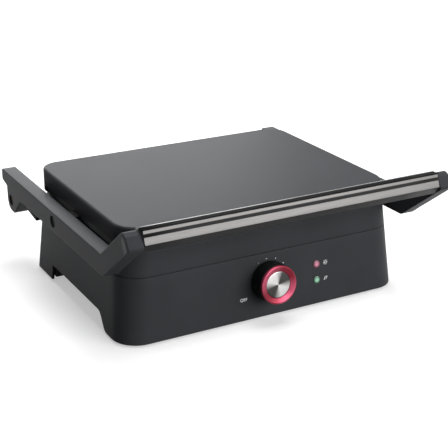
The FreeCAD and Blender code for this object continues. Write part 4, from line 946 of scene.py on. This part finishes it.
def turnedBar(centre, turn, wide, reach):
    # a round-cornered bar that points away from a centre, a turn clockwise from straight up
    a, (low, high), half = math.radians(turn), reach, wide / 2
    radius = min(wide, high - low) * marks["barRound"]
    corners = [(-half, low), (half, low), (half, high), (-half, high)]
    bar = roundCorners(corners, [radius] * 4, marks["barSteps"])
    side, out = (math.cos(a), -math.sin(a)), (math.sin(a), math.cos(a))
    return np.array(centre) + bar @ np.array([side, out])


def circle(centre, radius):
    # even points round a centre
    return np.array(centre) + radius * turns(marks["ringSteps"])


def wordMesh(word, tall):
    # a word in Blender's own font as flat faces, its capitals a given height, centred on its place
    curve = bpy.data.curves.new("word", "FONT")
    curve.body, curve.align_x = word, "CENTER"
    curve.size, curve.offset = tall / marks["capital"], tall * marks["bolder"]
    holder = addObject("word", curve)
    seen = holder.evaluated_get(bpy.context.evaluated_depsgraph_get())
    flat = bpy.data.meshes.new_from_object(seen)
    spots = np.zeros(len(flat.vertices) * 3)
    flat.vertices.foreach_get("co", spots)
    faces = [list(face.vertices) for face in flat.polygons]
    bpy.data.objects.remove(holder)
    bpy.data.meshes.remove(flat)
    bpy.data.curves.remove(curve)
    return spots.reshape(-1, 3)[:, :2], faces


def dialMarks():
    # ticks round the dial that grow with the heat, and the word at its start
    m = marks
    ticks = []
    for turn, share in zip(m["tickTurns"], np.linspace(0, 1, len(m["tickTurns"]))):
        wide = m["tickWide"][0] + share * np.ptp(m["tickWide"])
        end = m["tickRadius"] + m["tickLong"][0] + share * np.ptp(m["tickLong"])
        ticks.append(inkPad(turnedBar((0, 0), turn, wide, (m["tickRadius"], end))))
    putPiece("dialTicks", *joined(ticks), printWhite, "base")
    flat, faces = wordMesh(m["word"], m["wordTall"])
    x, along = (flat + np.array([m["wordX"], m["wordAlong"] - m["wordTall"] / 2])).T
    putPiece("offMark", byDial(x, along, m["ink"]), faces, printWhite, "base")


def lampSigns():
    # a ring with rays beside the upper lamp, and two leaning strokes beside the lower one
    m = marks
    heat = (m["signX"], base["lampHigh"])
    inside, outside = m["signRing"]
    sign = [inkPad(circle(heat, outside), circle(heat, inside))]
    sign += [inkPad(turnedBar(heat, turn, m["rayWide"], m["rayReach"]))
             for turn in np.arange(m["rays"]) * 360 / m["rays"]]
    putPiece("heatSign", *joined(sign), printWhite, "base")
    strokes = [inkPad(turnedBar((m["signX"] + across, base["lampLow"]), m["strokeTurn"],
                                m["strokeWide"], m["strokeReach"])) for across in m["strokesAt"]]
    putPiece("readySign", *joined(strokes), printWhite, "base")


dialMarks()
lampSigns()
print("marks")


# stage, light and camera, in metres and watts

# the floor's own white is lower near the part, which paints shade round it
studio = {"floorHalf": 40.0, "floorShade": 0.68, "floorPlain": 0.12, "worldLight": 0.15,
          "floorOwn": 0.43, "paintedShadeFade": (0.35, 1.2),    # its own white, and where it grows
          # name, place, aim, size, power
          "lamps": [("rearBox", (0.45, 2.5, 1.1), (0, 0, 0.1), (2.1, 1.2), 38),
                    ("topBox", (0.15, 0.3, 1.6), (0, 0, 0.1), (1.2, 1.0), 27),
                    ("frontFill", (1.1, -2.4, 0.9), (0, 0, 0.06), (2.6, 1.6), 75)]}
camera = {"place": (-0.539, -1.0065, 0.504), "way": (0.4480, 0.8179, -0.3611), "lens": 88.84,
          "sensor": 36.0, "clip": (0.01, 50)}


def setUp(made, place, way):
    # an object at a place, looking along a way
    made.location = place
    made.rotation_mode = "QUATERNION"
    made.rotation_quaternion = Vector(way).to_track_quat("-Z", "Y")


def softBox(name, place, aim, size, power):
    # a rectangular lamp that looks at an aim
    light = bpy.data.lights.new(name, "AREA")
    light.shape, light.energy = "RECTANGLE", power
    light.size, light.size_y = size
    setUp(addObject(name, light), place, Vector(aim) - Vector(place))


def whiteToSight(made, plain, white, output):
    # camera, glossy and transmission rays get the white shader, and all other rays the plain one
    path = addNode(made, "ShaderNodeLightPath")
    seen = path.outputs["Is Camera Ray"]
    for kind in ("Is Glossy Ray", "Is Transmission Ray"):
        seen = maths(made, "MAXIMUM", seen, path.outputs[kind])
    choose = addNode(made, "ShaderNodeMixShader")
    for source, socket in zip((seen, plain.outputs[0], white.outputs[0]), choose.inputs):
        link(made, source, socket)
    link(made, choose.outputs[0], made.node_tree.nodes[output].inputs["Surface"])


def stageFloor():
    # a wide floor: partly diffuse, which keeps the shadow, and partly white of its own, which grows
    # with the distance from the part, so that the floor is painted darker near the part and the far
    # floor meets the white world
    half = studio["floorHalf"]
    mesh = bpy.data.meshes.new("floor")
    corners = [(-half, -half, 0), (half, -half, 0), (half, half, 0), (-half, half, 0)]
    mesh.from_pydata(corners, [], [(0, 1, 2, 3)])
    floor = addObject("floor", mesh)
    made = newMaterial("paleFloor")
    made.node_tree.nodes.remove(shaderOf(made))
    shaded, plain = (addNode(made, "ShaderNodeBsdfDiffuse", Color=(*[studio[key]] * 3, 1))
                     for key in ("floorShade", "floorPlain"))
    place = addNode(made, "ShaderNodeTexCoord")
    far = addNode(made, "ShaderNodeVectorMath", operation="LENGTH")
    link(made, place.outputs["Object"], far.inputs[0])
    own = addNode(made, "ShaderNodeEmission")
    # less own white near the part: painted shade round it
    grown = spread(made, far.outputs["Value"], studio["floorOwn"], 1, studio["paintedShadeFade"])
    link(made, grown, own.inputs["Strength"])
    white = addNode(made, "ShaderNodeAddShader")
    link(made, shaded.outputs[0], white.inputs[0])
    link(made, own.outputs[0], white.inputs[1])
    whiteToSight(made, plain, white, "Material Output")
    mesh.materials.append(made)


def studioWorld():
    # white to the eye, an even grey for the light it gives
    world = bpy.data.worlds.new("studio")
    bpy.context.scene.world = world
    world.use_nodes = True
    plain, white = world.node_tree.nodes["Background"], addNode(world, "ShaderNodeBackground")
    for shader, strength in ((plain, studio["worldLight"]), (white, 1.0)):
        shader.inputs["Color"].default_value = (1, 1, 1, 1)
        shader.inputs["Strength"].default_value = strength
    whiteToSight(world, plain, white, "World Output")


def setCamera():
    # the photograph's viewing angle
    made = bpy.data.cameras.new("camera")
    made.lens, made.sensor_width, made.sensor_fit = camera["lens"], camera["sensor"], "HORIZONTAL"
    made.clip_start, made.clip_end = camera["clip"]
    eye = addObject("camera", made)
    setUp(eye, camera["place"], camera["way"])
    bpy.context.scene.camera = eye


stageFloor()
studioWorld()
for setting in studio["lamps"]:
    softBox(*setting)
setCamera()
bpy.context.scene.view_settings.view_transform = "Standard"
print("stage ready")
